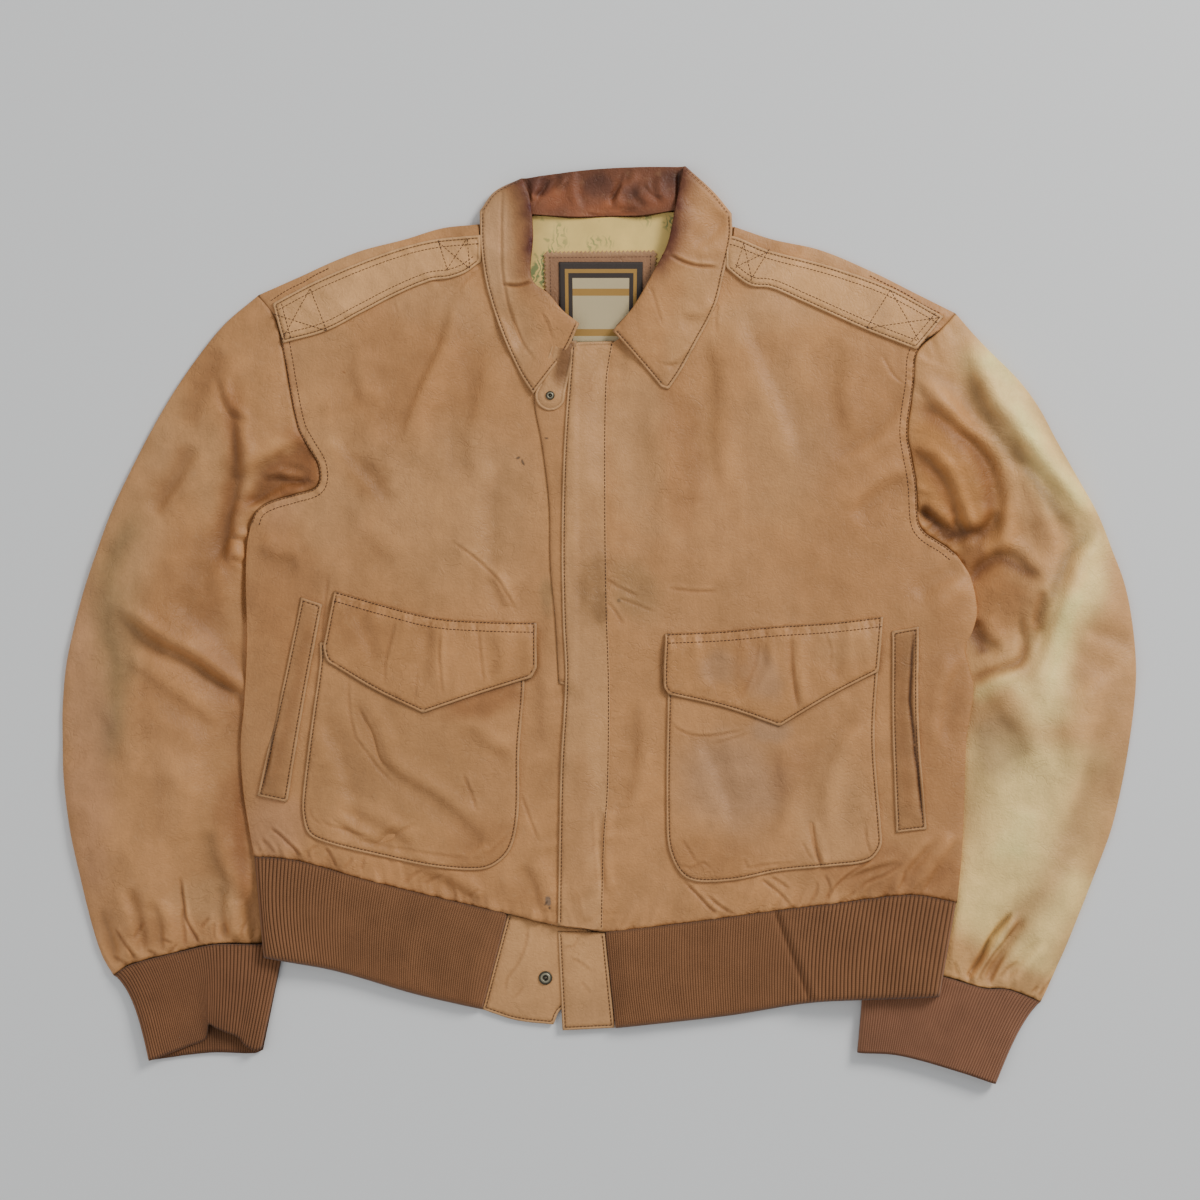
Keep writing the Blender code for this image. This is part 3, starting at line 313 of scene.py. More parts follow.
# ------------------------------------------------------------------ relief of the solids
class Relief:
    """Smoothed height raster of the upper face of one or more CAD nodes."""

    MARGIN = 30.0
    FACING = 0.25

    def __init__(self, nodes: list[str], blur: float, step: float = 3.0) -> None:
        """Rasterise the upward triangles, keep the highest, spread the heights outward and blur them.

        Args:
            nodes: CAD node names.
            blur: Radius of the averaging, in mm.
            step: Raster cell, in mm.
        """
        corners = []
        for name in nodes:
            mesh = frame["nodes"][name].data
            co = np.empty(len(mesh.vertices) * 3)
            mesh.vertices.foreach_get("co", co)
            mesh.calc_loop_triangles()
            ids = np.empty(len(mesh.loop_triangles) * 3, np.int64)
            mesh.loop_triangles.foreach_get("vertices", ids)
            corners.append(co.reshape(-1, 3)[ids].reshape(-1, 3, 3) / MM)
        tri = np.concatenate(corners)
        tri[:, :, 1] -= SHIFT_Y
        normal = np.cross(tri[:, 1] - tri[:, 0], tri[:, 2] - tri[:, 0])
        normal /= np.maximum(np.linalg.norm(normal, axis=1), 1e-9)[:, None]
        tri = tri[normal[:, 2] > self.FACING]
        self.step = step
        self.low = tri[:, :, :2].min(axis=(0, 1)) - self.MARGIN
        size = np.ceil((tri[:, :, :2].max(axis=(0, 1)) + self.MARGIN - self.low) / step).astype(int) + 1
        grid = np.full((size[1], size[0]), -FAR)
        for t in tri:
            lo = np.floor((t[:, :2].min(0) - self.low) / step).astype(int)
            hi = np.ceil((t[:, :2].max(0) - self.low) / step).astype(int) + 1
            gx, gy = np.meshgrid(self.low[0] + np.arange(lo[0], hi[0]) * step,
                                 self.low[1] + np.arange(lo[1], hi[1]) * step)
            e1, e2 = t[1] - t[0], t[2] - t[0]
            det = e1[0] * e2[1] - e1[1] * e2[0]
            rx, ry = gx - t[0, 0], gy - t[0, 1]
            u, v = (rx * e2[1] - ry * e2[0]) / det, (e1[0] * ry - e1[1] * rx) / det
            on = (u > -1e-3) & (v > -1e-3) & (u + v < 1.001)
            z = t[0, 2] + u * e1[2] + v * e2[2]
            part = grid[lo[1]:hi[1], lo[0]:hi[0]]
            np.copyto(part, np.maximum(part, z), where=on)
        known = grid > -0.1 * FAR
        grid = np.where(known, grid, 0.0)
        weight = known.astype(float)
        for _ in range(10):
            spread, amount = self._box(grid * weight, 1), self._box(weight, 1)
            fresh = (weight == 0) & (amount > 0.05)
            grid = np.where(fresh, spread / np.maximum(amount, 1e-9), grid)
            weight = np.where(fresh, 1.0, weight)
        radius = max(1, round(blur / step / 2))
        for _ in range(3):
            total, amount = self._box(grid * weight, radius), self._box(weight, radius)
            grid = np.where(amount > 1e-6, total / np.maximum(amount, 1e-6), grid)
            weight = np.minimum(weight + (amount > 1e-6) * 1e-3, 1.0)
        self.grid = grid

    @staticmethod
    def _box(grid: np.ndarray, radius: int) -> np.ndarray:
        """Box average over (2 radius + 1) cells along both axes."""
        for axis in (0, 1):
            ends = [(radius + 1, radius) if a == axis else (0, 0) for a in (0, 1)]
            padded = np.pad(grid, ends, mode="edge")
            total = np.cumsum(padded, axis=axis)
            length = grid.shape[axis]
            head = np.take(total, np.arange(2 * radius + 1, 2 * radius + 1 + length), axis=axis)
            tail = np.take(total, np.arange(length), axis=axis)
            grid = (head - tail) / (2 * radius + 1)
        return grid

    def __call__(self, xy: np.ndarray) -> np.ndarray:
        """Heights in mm, by bilinear interpolation."""
        q = (xy - self.low) / self.step
        q = np.clip(q, 0, [self.grid.shape[1] - 1.001, self.grid.shape[0] - 1.001])
        cell = q.astype(int)
        f = q - cell
        x, y = cell[:, 0], cell[:, 1]
        g = self.grid
        low = g[y, x] * (1 - f[:, 0]) + g[y, x + 1] * f[:, 0]
        high = g[y + 1, x] * (1 - f[:, 0]) + g[y + 1, x + 1] * f[:, 0]
        return low * (1 - f[:, 1]) + high * f[:, 1]


# ------------------------------------------------------------------ creases and puckers
@dataclass(frozen=True)
class Crease:
    """A soft fold drawn as listed: a trough with a ridge on one side.

    h(s) = -depth exp(-(s / width)^2) + ridge depth exp(-((s - 2 width) / (1.6 width))^2), with s the
    distance to the line, positive on its left, fading to nothing at both ends. A negative depth turns
    trough and ridge round. A negative ridge puts it on the line's right.
    """

    depth: float
    width: float
    ridge: float
    line: Line
    ends: float = 0.22
    wander: float = 0.35

    @property
    def thin(self) -> bool:
        """Whether it is a thin wrinkle, which is also darkened with painted shade."""
        return self.width < 2

    def height(self, xy: np.ndarray) -> np.ndarray:
        """Height in mm at each point."""
        line = curve(self.line, 6.0)
        result = np.zeros(len(xy))
        near = around(xy, line, 5 * self.width)
        if not near.any():
            return result
        part = xy[near]
        where, s = along(part, line)
        t = where / length_of(line)
        fade = np.sqrt(np.clip(smooth(t / self.ends) * smooth((1 - t) / self.ends), 0, 1))
        fade = fade * smooth(1.8 - np.abs(s) / (3.2 * self.width))
        s = s + self.wander * self.width * noise(part, 4 * self.width + 8, 5)
        side = 1.0 if self.ridge >= 0 else -1.0
        gentle = self.width * (1 + 0.25 * max(self.width - 2, 0))
        trough = np.exp(-((s / np.where(s * side > 0, self.width, gentle)) ** 2))
        ridge = abs(self.ridge) * np.exp(-(((s * side - 2 * self.width) / (1.6 * self.width)) ** 2))
        result[near] = self.depth * (ridge - trough) * fade
        return result


@dataclass(frozen=True)
class Pucker:
    """Small folds square to a seam, dying away from it.

    h = tall n(along / spacing) exp(-(distance / reach)^1.5), with n smooth noise in -1..1 and the
    folds leaning by `skew` per mm away from the seam.
    """

    tall: float
    spacing: float
    reach: float
    skew: float
    line: Line
    offset: float = 0.0

    def height(self, xy: np.ndarray) -> np.ndarray:
        """Height in mm at each point."""
        line = curve(self.line, 6.0)
        result = np.zeros(len(xy))
        near = around(xy, line, 2.4 * self.reach + abs(self.offset))
        if not near.any():
            return result
        where, s = along(xy[near], line)
        u, v = (where + self.skew * s) / self.spacing, np.abs(s) / self.spacing
        wave = noise(np.stack([u, v / 5], 1), 1.0, 11) + 0.4 * noise(np.stack([2.1 * u, v / 4], 1), 1.0, 17)
        result[near] = self.tall * wave * np.exp(-np.abs((np.abs(s) - self.offset) / self.reach) ** 1.5)
        return result


# each fold: depth, width and ridge, then the line it follows
FOLDS = {
    "arm_r": (
        (4, 4.5, 0.8, "-396,12 -371,-11 -341,-27 -308,-51 -286,-62"),
        (2.4, 6, 0.7, "-404,-30 -376,-44 -346,-62 -316,-88"),
        (1.8, 7, -0.6, "-352,22 -330,6 -306,-18 -290,-34"),
        (3, 5, 0.8, "-236,118 -256,117 -276,108 -296,96"),
        (2.6, 5, -0.8, "-236,148 -258,138 -280,128 -300,118"),
        (3.2, 4.5, 0.9, "-302,176 -298,150 -297,126 -301,105 -308,78 -308,55 -295,40"),
        (1.8, 3, 0.8, "-312,204 -309,186 -304,176 -294,169 -286,168"),
        (1.5, 2.4, 0.8, "-276,118 -264,121 -254,118 -240,118"),
        (1.3, 2.4, -0.8, "-262,129 -252,130 -242,126"),
        (2.6, 6, 0.7, "-333,148 -342,131 -352,113 -366,90"),
        (2, 7, 0.7, "-309,228 -319,207 -328,185 -337,162"),
        (4, 3, 0.5, "-283,96 -286,77 -288,60 -289,34 -288,0"),
        (2.6, 2.6, 0.8, "-302,72 -296,70 -286,69"),
        (2, 2.6, 0.8, "-302,56 -296,52 -288,53"),
        (2, 7, 0.7, "-296,84 -316,60 -330,30"),
        (1.5, 8, -0.6, "-404,70 -392,36 -386,10"),
        (1.8, 8, 0.6, "-420,-60 -402,-92 -392,-130"),
        (1.8, 8, -0.7, "-330,-96 -322,-140 -326,-180"),
        (1.5, 7, 0.6, "-372,-100 -362,-142 -366,-184"),
        (2.4, 6, 0.7, "-322,-168 -316,-195 -300,-228"),
        (2.8, 4, -0.8, "-386,-216 -378,-246 -374,-272"),
        (2.4, 4, 0.8, "-366,-226 -360,-250 -358,-268"),
        (2.6, 4, 0.8, "-312,-214 -310,-240 -306,-260"),
        (2, 4, -0.8, "-290,-224 -288,-244 -288,-260"),
        (2, 4.5, 0.7, "-410,-232 -400,-258 -396,-280")),
    "arm_l": (
        (3.4, 6.5, 0.9, "295,240 299,218 305,200 319,173 337,152 358,129 377,105 391,88 410,79"),
        (3.2, 5, 0.9, "411,80 391,61 379,38 368,5 356,-23 343,-54"),
        (3.8, 5, 0.9, "256,198 262,189 275,175 298,156 314,140 323,124 327,103 326,82 320,60"),
        (2.6, 4, 0.9, "256,146 274,131 284,115 291,96 296,78 295,60"),
        (3.6, 4.5, 0.5, "290,88 302,76 314,77 322,84 328,94"),
        (4.4, 4, 0.4, "264,98 272,88 282,80 292,70"),
        (3.2, 4.5, 0.5, "306,34 312,46 326,56 340,56 352,45 363,34"),
        (3.4, 5, 0.5, "308,6 312,-8 320,-16 330,-22"),
        (2.8, 3.4, -0.7, "304,-50 318,-40 333,-35 344,-32 349,-25 349,-9 344,14"),
        (2.2, 3.2, 0.7, "364,28 361,14 356,-2"),
        (1.5, 6, 0.7, "340,128 350,96 358,66 362,40"),
        (1.2, 5, 0.7, "332,130 338,100 340,76"),
        (1.4, 6, 0.7, "440,-18 420,-9 396,-2"),
        (1.4, 6, 0.7, "440,-18 412,-34 378,-56"),
        (2, 7, -0.7, "352,190 372,158 392,124 404,100"),
        (2.4, 8, 0.7, "306,-56 326,-78 346,-104 354,-130"),
        (2.2, 7, -0.7, "350,140 368,112 380,84 388,62"),
        (2, 7, 0.7, "318,214 338,180 360,150"),
        (2, 8, -0.7, "424,-30 416,-84 400,-130 380,-180"),
        (1.8, 8, 0.7, "376,-60 374,-110 362,-160"),
        (3.4, 2.4, 0.8, "338,-236 325,-253 315,-270 309,-281 302,-291"),
        (2.4, 3, -0.8, "349,-238 333,-265 321,-283 318,-295"),
        (1.8, 3.2, 0.8, "362,-258 344,-276 332,-292"),
        (2, 3, 0.8, "384,-272 366,-292 358,-304"),
        (1.6, 5, 0.8, "292,-216 284,-248 276,-280"),
        (1.6, 5, -0.8, "262,-232 254,-258 250,-276")),
    "body": (
        (0.8, 3.4, 0.7, "-122,273 -131,236 -143,210 -156,181 -168,143"),
        (1.4, 7, 0.8, "-124,258 -134,229 -150,200 -163,174 -168,148"),
        (1.3, 6, -0.6, "-217,160 -202,140 -186,122 -170,101"),
        (1.3, 7, 0.7, "-200,232 -206,206 -196,176"),
        (1.2, 7, 0.7, "-96,236 -104,196 -112,150 -110,110"),
        (1.3, 8, -0.7, "-76,130 -88,90 -84,46"),
        (1.2, 8, 0.7, "-210,100 -196,70 -170,44"),
        (1.6, 6, 0.7, "-284,60 -268,52 -246,50"),
        (1.5, 5, 0.8, "-150,-206 -126,-214 -98,-230"),
        (1.4, 5, 0.8, "-62,-196 -54,-214 -52,-236"),
        (1.3, 7, 0.6, "-46,30 -54,-30 -50,-110"),
        (1.3, 7, 0.7, "84,238 92,200 90,150 98,100"),
        (1.4, 7, -0.7, "122,258 136,216 156,176 168,130"),
        (1.3, 7, 0.7, "196,236 190,196 200,150"),
        (1.5, 6, 0.8, "252,196 236,172 214,150 190,136"),
        (1.6, 6, -0.8, "256,120 232,108 206,88"),
        (1.2, 8, 0.7, "40,190 36,140 44,90 40,40"),
        (1.6, 6, 0.7, "300,44 280,36 262,20"),
        (1.6, 5, -0.7, "300,-28 288,-60 284,-100"),
        (1.02, 2.4, -0.9, "248,-194 222,-202 202,-210 192,-224"),
        (1.4, 4, -0.9, "296,-176 280,-196 268,-220"),
        (1.2, 3, -0.9, "276,-176 258,-196 246,-220"),
        (1.2, 3, 0.9, "3,-150 0,-187 3,-222"),
        (1.2, 5, 0.8, "29,-60 29,-93 22,-135 13,-158"),
        (1, 4, 0.9, "-92,38 -84,26 -78,12")),
    "pocket": (
        (1.3, 5, 0.8, "-203,-60 -187,-86 -178,-111 -163,-127 -133,-147 -109,-164 -94,-182"),
        (1.2, 6, -0.7, "-224,-76 -206,-118 -196,-166"),
        (1, 5, 0.7, "-110,-84 -92,-104 -74,-112"),
        (1.1, 5, 0.7, "-214,-150 -180,-168 -150,-186"),
        (1.3, 6, 0.8, "212,-70 188,-104 176,-146 180,-186"),
        (1.1, 6, -0.7, "84,-90 102,-126 112,-172"),
        (1, 6, 0.7, "140,-96 146,-140 132,-188"),
        (0.82, 2.4, 0.9, "172,-160 177,-181 183,-203"),
        (0.9, 3, 0.9, "-220,-160 -199,-172 -185,-178 -170,-171 -157,-164"),
        (0.9, 3, 0.9, "-94,-176 -104,-184 -112,-188")),
    "flap": (
        (1.2, 5, 0.8, "-143,2 -140,-22 -144,-50"),
        (0.9, 5, -0.7, "-198,14 -188,-14 -186,-34"),
        (0.9, 5, 0.7, "-92,-2 -88,-26 -92,-46"),
        (1, 3, 0.9, "157,-8 158,-40 163,-70"),
        (0.9, 4, 0.8, "131,-10 134,-34 114,-64"),
        (0.9, 5, -0.7, "88,-10 92,-32 96,-54"),
        (0.9, 5, 0.7, "200,0 196,-24 194,-46")),
    "welt": (
        (1.2, 1.8, 0.5, "258.5,-3 255.7,-34 254.8,-64 257.7,-93 261,-124 265.5,-164"),
        (1.2, 1.8, -0.5, "-245.6,18 -256.5,-25 -261.6,-52 -266.6,-86 -276,-138")),
    "collar": (
        (1.2, 5, -0.7, "-84,262 -72,246 -62,224"),
        (1.4, 5, 0.7, "104,336 92,320 76,312"),
        (1, 4, -0.7, "98,262 84,250 66,252"),
        (0.9, 3, 0.7, "56,210 66,214 78,224")),
    "stand": (
        (1.2, 2.8, 0.9, "-30,372 -40,360 -54,350"),
        (1.1, 2.6, 0.9, "26,374 18,360 8,348"),
        (0.9, 2.6, -0.9, "-14,372 -16,356 -10,342"),
        (0.9, 2.6, 0.9, "46,372 44,358 52,344"),
        (0.9, 2.4, 0.9, "0,338 14,341 34,339"),
        (1.3, 2.4, 0.9, "-54,345 -47,358 -41,370"),
        (1, 2.2, -0.9, "-57,347 -58,358 -60,367"),
        (1.2, 2.2, 0.9, "17,365 12,352 10,343"),
        (1, 2.2, 0.9, "27,359 30,350 40,342"),
        (1.3, 2, 0.9, "64,372 66,358 68,345")),
}
# thin, sharp wrinkles: depth in mm and the line each one follows
WRINKLES = {
    "arm_r": (
        (1.5, "-397,-248 -391,-257 -385,-266 -378,-276"), (1, "-400,-272 -395,-274 -386,-280"),
        (0.9, "-374,-244 -378,-252 -381,-258"), (1.2, "-342,-232 -341,-246 -339,-266"),
        (1.7, "-344,-206 -341,-228 -339,-242 -333,-254 -327,-264"), (0.9, "-359,-257 -349,-261"),
        (1, "-345,-262 -353,-270"), (1, "-371,-267 -362,-271"), (0.9, "-316,-244 -316,-256 -313,-260"),
        (0.8, "-308,-244 -305,-253"), (1, "-320,-240 -328,-249"), (0.9, "-290,-243 -293,-254 -290,-261")),
    "arm_l": (
        (1.9, "340,-234 336,-240 328,-249 321,-258 315,-271 307,-283 303,-291"),
        (1.4, "344,-245 327,-266 318,-278 313,-288 314,-295"),
        (1.3, "333,-271 326,-282 322,-290 319,-296"), (0.9, "344,-276 335,-282 328,-290"),
        (1.5, "374,-290 366,-298 360,-306"), (1, "361,-297 354,-303"), (0.9, "303,-284 306,-294"),
        (0.8, "292,-276 294,-288")),
    "body": (
        (1.7, "-270,-166 -262,-172 -254,-180 -248,-186 -244,-192"), (0.9, "-277,-175 -270,-182 -265,-188"),
        (0.8, "-282,-178 -277,-187"), (1.3, "-225,-182 -221,-186 -218,-193 -215,-200"),
        (0.9, "-229,-181 -235,-183 -239,-187 -237,-193"), (0.9, "-202,-190 -204,-194 -210,-200"),
        (0.8, "-192,-190 -195,-201"), (1, "-144,-201 -154,-206 -161,-214"), (0.9, "-127,-205 -145,-213"),
        (0.8, "-98,-216 -108,-224"), (1.6, "70,-210 82,-223 92,-233 101,-239"),
        (1.3, "89,-222 101,-232 111,-238"), (1.2, "132,-208 144,-217 152,-224 158,-232"),
        (1, "141,-207 151,-213 156,-217"), (1.1, "178,-210 178,-220 171,-232"),
        (1.1, "184,-205 189,-215 186,-227"), (1.6, "223,-192 211,-200 198,-210 191,-218 186,-228"),
        (1.3, "248,-195 233,-205 218,-212 213,-218"), (1, "211,-218 201,-227"), (0.9, "251,-200 249,-212"),
        (0.9, "4,38 18,30 34,23"), (0.8, "6,20 14,10 20,0"), (0.9, "57,30 76,28 97,28"),
        (0.8, "16,22 30,17 46,11"), (0.5, "-168,265 -165,255"), (1, "-122,70 -98,52 -84,38 -74,23 -67,10"),
        (0.9, "-222,42 -225,16 -227,-8"), (0.9, "-64,-138 -57,-158 -50,-177"),
        (0.6, "97,264 96,251 97,238"), (0.8, "252,196 240,206 232,222"),
        (0.7, "-100,291 -108,284 -116,274"), (0.7, "-100,300 -110,303")),
    "pocket": (
        (0.9, "-230,-157 -223,-163 -215,-166 -206,-168 -196,-172 -186,-173"),
        (1.1, "-186,-180 -175,-176 -167,-171 -158,-166 -150,-163"), (0.7, "-237,-150 -235,-158 -227,-164"),
        (1, "-205,-42 -205,-63 -200,-90 -190,-105 -176,-123 -166,-132"),
        (1.4, "-198,-66 -187,-88 -180,-110 -173,-118"), (1.1, "-112,-121 -104,-140 -100,-153"),
        (0.9, "-92,-189 -82,-180 -75,-172"), (0.7, "-200,-175 -160,-184 -109,-191 -96,-191"),
        (0.9, "67,-175 74,-185 81,-197"), (1.7, "174,-160 176,-178 182,-199"), (0.9, "166,-177 174,-193"),
        (1, "217,-163 219,-178 223,-190"), (0.8, "119,-192 122,-200"),
        (0.9, "67,-196 75,-200 85,-195 92,-200"), (0.9, "121,-200 134,-197 147,-196 163,-195"),
        (1.1, "56,-78 66,-86 80,-91 100,-90 120,-86"), (0.8, "92,-98 108,-94 124,-88")),
    "flap": (
        (1.2, "-130,-2 -131,-26 -128,-58"), (1.1, "-99,-3 -97,-29 -94,-48"),
        (0.9, "-166,6 -175,-30 -176,-50"), (0.8, "-149,-40 -151,-62"), (1.2, "157,-8 158,-40 163,-70"),
        (0.9, "131,-10 128,-34 114,-64"), (0.8, "184,-4 190,-22 188,-40")),
    "collar": (
        (1.1, "-79,364 -80,336 -80,296 -77,275 -71,252 -62,230 -50,213"), (2.4, "-79,279 -66,278 -54,281"),
        (0.7, "-48,257 -42,245 -38,233"), (2.4, "57,302 69,297 81,294 97,293"),
        (0.6, "41,280 46,263 52,245"), (0.5, "46,217 55,213 66,214")),
    "stand": (
        (1.4, "-40,366 -48,355 -54,352"), (1.4, "20,372 17,362 12,352 8,348"),
        (1.8, "66,373 65,356 64,341"), (1, "-12,338 0,336 14,337 30,340"), (0.9, "-30,357 -25,365"),
        (0.9, "36,362 44,352 52,350")),
    "tab": (
        (1.2, "-57,-243 -61,-265 -68,-280 -76,-292 -77,-306"), (0.8, "-62,-297 -71,-308"),
        (0.9, "-32,-265 -21,-264 -17,-256"), (1, "-23,-274 -15,-278 -6,-285"), (0.8, "-15,-293 -7,-303")),
    "placket": (
        (0.8, "-6,-150 -4,-187 -1,-222"), (0.7, "-20,-216 -16,-228 -14,-242"),
        (0.7, "-2,214 -8,200 -6,190")),
}
THIN_WIDTH, THIN_RIDGE = 1.3, 0.35
THIN_SHARE = {"arm_r": 0.85, "arm_l": 0.95, "stand": 0.6, "collar": 0.5, "flap": 0.42, "pocket": 0.42,
              "tab": 0.5}
CRUMPLE = {"arm_r": 1.3, "arm_l": 1.5, "rib": 0.5, "collar": 0.5, "lining": 0.5, "stand": 0.8}
PUCKERS = {
    "arm_r": (
        Pucker(0.9, 9, 16, 0.3, ARMHOLE_R), Pucker(1.7, 8, 30, -0.15, CUFF_SEAM_R),
        Pucker(0.8, 3.6, 7, -0.1, CUFF_SEAM_R)),
    "arm_l": (
        Pucker(1.3, 10, 22, -0.4, ARMHOLE_L), Pucker(1.5, 8, 30, 0.2, CUFF_SEAM_L),
        Pucker(0.8, 3.6, 7, 0.1, CUFF_SEAM_L)),
    "body": (
        Pucker(0.5, 8, 12, 0.3, ARMHOLE_R), Pucker(0.5, 8, 12, -0.3, ARMHOLE_L),
        Pucker(0.9, 7, 20, 0.5, HEM_R), Pucker(0.5, 3.6, 7, 0.3, HEM_R), Pucker(1, 7, 22, -0.6, HEM_L),
        Pucker(0.5, 3.6, 7, -0.3, HEM_L), Pucker(0.5, 7, 12, 0.4, YOKE_R, 10),
        Pucker(0.6, 7, 14, -0.4, YOKE_L, 10), Pucker(0.5, 9, 12, 0.4, NECK_R, 14),
        Pucker(0.5, 9, 12, -0.4, NECK_L, 14), Pucker(0.5, 3.4, 3.4, 0, ARMHOLE_R, 3.7),
        Pucker(0.5, 3.4, 3.4, 0, ARMHOLE_L, 3.7),
        Pucker(0.35, 8, 9, 0.2, path("-33,220 -38,90 -36,-60 -40,-236"), 4),
        Pucker(0.35, 8, 9, 0.2, path("13,226 9,90 13,-60 8,-240"), 4)),
    "flap": (
        Pucker(0.8, 3.4, 4.6, 0, FLAP_R[0], 4.5), Pucker(0.8, 3.4, 4.6, 0, FLAP_L[0], 4.5),
        Pucker(0.7, 9, 22, 0, FLAP_R[0], 16), Pucker(0.7, 9, 22, 0, FLAP_L[0], 16)),
}


def zones_of(zone: str) -> tuple[str, ...]:
    """The zones whose folds a piece takes: what lies on the fronts follows theirs too."""
    return ("body", zone) if zone in ("pocket", "flap", "welt") else (zone,)


def creases_of(zone: str) -> list[Crease]:
    """Every fold and thin wrinkle that a piece takes."""
    result = []
    for name in zones_of(zone):
        result += [Crease(*fold, path(line)) for *fold, line in FOLDS.get(name, ())]
        share = THIN_SHARE.get(name, 0.55)
        result += [Crease(share * depth, THIN_WIDTH, THIN_RIDGE, path(line))
                   for depth, line in WRINKLES.get(name, ())]
    return result


def wrinkles_of(zone: str, xy: np.ndarray) -> np.ndarray:
    """Height of the thin wrinkles alone."""
    return sum((item.height(xy) for item in creases_of(zone) if item.thin), np.zeros(len(xy)))


def relief_of(zone: str, xy: np.ndarray) -> np.ndarray:
    """Everything a surface does beyond its solid: creases, puckers and the crumple of worn hide.

    The crumple is 1 - 2.2 |n| of smooth noise n, which leaves thin ridges between shallow dishes.
    """
    total = np.zeros(len(xy))
    gain = 1.25 if zone.startswith("arm") else 1.7
    puckers = [item for name in zones_of(zone) for item in PUCKERS.get(name, ())]
    for item in (*creases_of(zone), *puckers):
        total += gain * item.height(xy)
    warp = np.column_stack([noise(xy, 45, 81), noise(xy, 45, 83)]) * 9
    broad = 0.34 * (1 - 2.2 * np.abs(noise(xy + warp, 34, 85)))
    close = 0.2 * (1 - 2.2 * np.abs(noise(xy - warp, 15, 87)))
    sway = 0.8 * noise(xy, 62, 3) + 0.45 * noise(xy + 40, 27, 7) + 0.2 * noise(xy, 10, 9)
    return total + CRUMPLE.get(zone, 0.9) * (sway + broad + close)


# ------------------------------------------------------------------ colour painted on the hide, painted shade included
def srgb(red: float, green: float, blue: float) -> np.ndarray:
    """Linear colour from 0..255 display values."""
    c = np.array([red, green, blue]) / 255.0
    return np.where(c <= 0.04045, c / 12.92, ((c + 0.055) / 1.055) ** 2.4)


# the darker worn tan stands for wear in some patches and for painted shade along folds in others
TAN, PALE_TAN, WORN_AND_SHADED_TAN = srgb(193, 137, 85), srgb(205, 154, 102), srgb(165, 111, 65)
CREAM, PINKISH, OLIVE = srgb(253, 219, 143), srgb(198, 142, 102), srgb(150, 118, 76)
ASH = srgb(176, 142, 112)
SOOT, BROWN, STAIN = srgb(98, 76, 56), srgb(146, 92, 50), srgb(100, 55, 37)
THREAD_BROWN = srgb(84, 54, 32)
WRINKLE_SHADE = np.array([0.22, 0.27, 0.32])  # how much darker each mm of a thin wrinkle is
GROUNDS = {
    "placket": 0.45 * TAN + 0.55 * PALE_TAN, "strap": PALE_TAN * [1.1, 1.08, 1.03], "fly": 0.93 * TAN,
    "flap": TAN * [0.96, 0.94, 0.9], "welt": 0.92 * TAN, "tab": 0.4 * TAN + 0.6 * PALE_TAN,
    "arm_l": 0.45 * TAN + 0.55 * PALE_TAN, "stand": srgb(136, 82, 54), "patch": srgb(154, 112, 80),
    "lining": srgb(243, 206, 118)}


@dataclass(frozen=True)
class Patch:
    """A patch of other colour: an ellipse with a broken edge.

    strength * smooth((1 - r + ragged noise) / softness), r the distance in radii.
    """

    colour: np.ndarray
    strength: float
    x: float
    y: float
    wide: float
    tall: float
    angle: float = 0.0
    softness: float = 0.9
    ragged: float = 0.35

    def mask(self, xy: np.ndarray) -> np.ndarray:
        """Strength at each point, 0..1."""
        a = math.radians(self.angle)
        rel = xy - np.array([self.x, self.y])
        u = (rel[:, 0] * math.cos(a) + rel[:, 1] * math.sin(a)) / self.wide
        v = (-rel[:, 0] * math.sin(a) + rel[:, 1] * math.cos(a)) / self.tall
        r = np.hypot(u, v)
        near = r < 1 + 0.5 * self.softness + self.ragged
        r[near] += self.ragged * noise(xy[near], 0.6 * min(self.wide, self.tall) + 4, 23, 3)
        return self.strength * smooth((1 - r) / self.softness + 0.5) * near


@dataclass(frozen=True)
class Streak:
    """A band of other colour along a line: strength exp(-(distance / width)^2), fading at both ends."""

    colour: np.ndarray
    strength: float
    width: float
    line: str

    def mask(self, xy: np.ndarray) -> np.ndarray:
        """Strength at each point, 0..1."""
        line = curve(path(self.line), 8.0)
        result = np.zeros(len(xy))
        near = around(xy, line, 4 * self.width)
        where, s = along(xy[near], line)
        length = length_of(line)
        fade = smooth(where / (0.2 * length) + 0.25) * smooth((length - where) / (0.2 * length) + 0.25)
        s = s + 0.45 * self.width * noise(xy[near], 1.6 * self.width + 6, 29, 2)
        result[near] = self.strength * np.exp(-((s / self.width) ** 2)) * fade
        return result
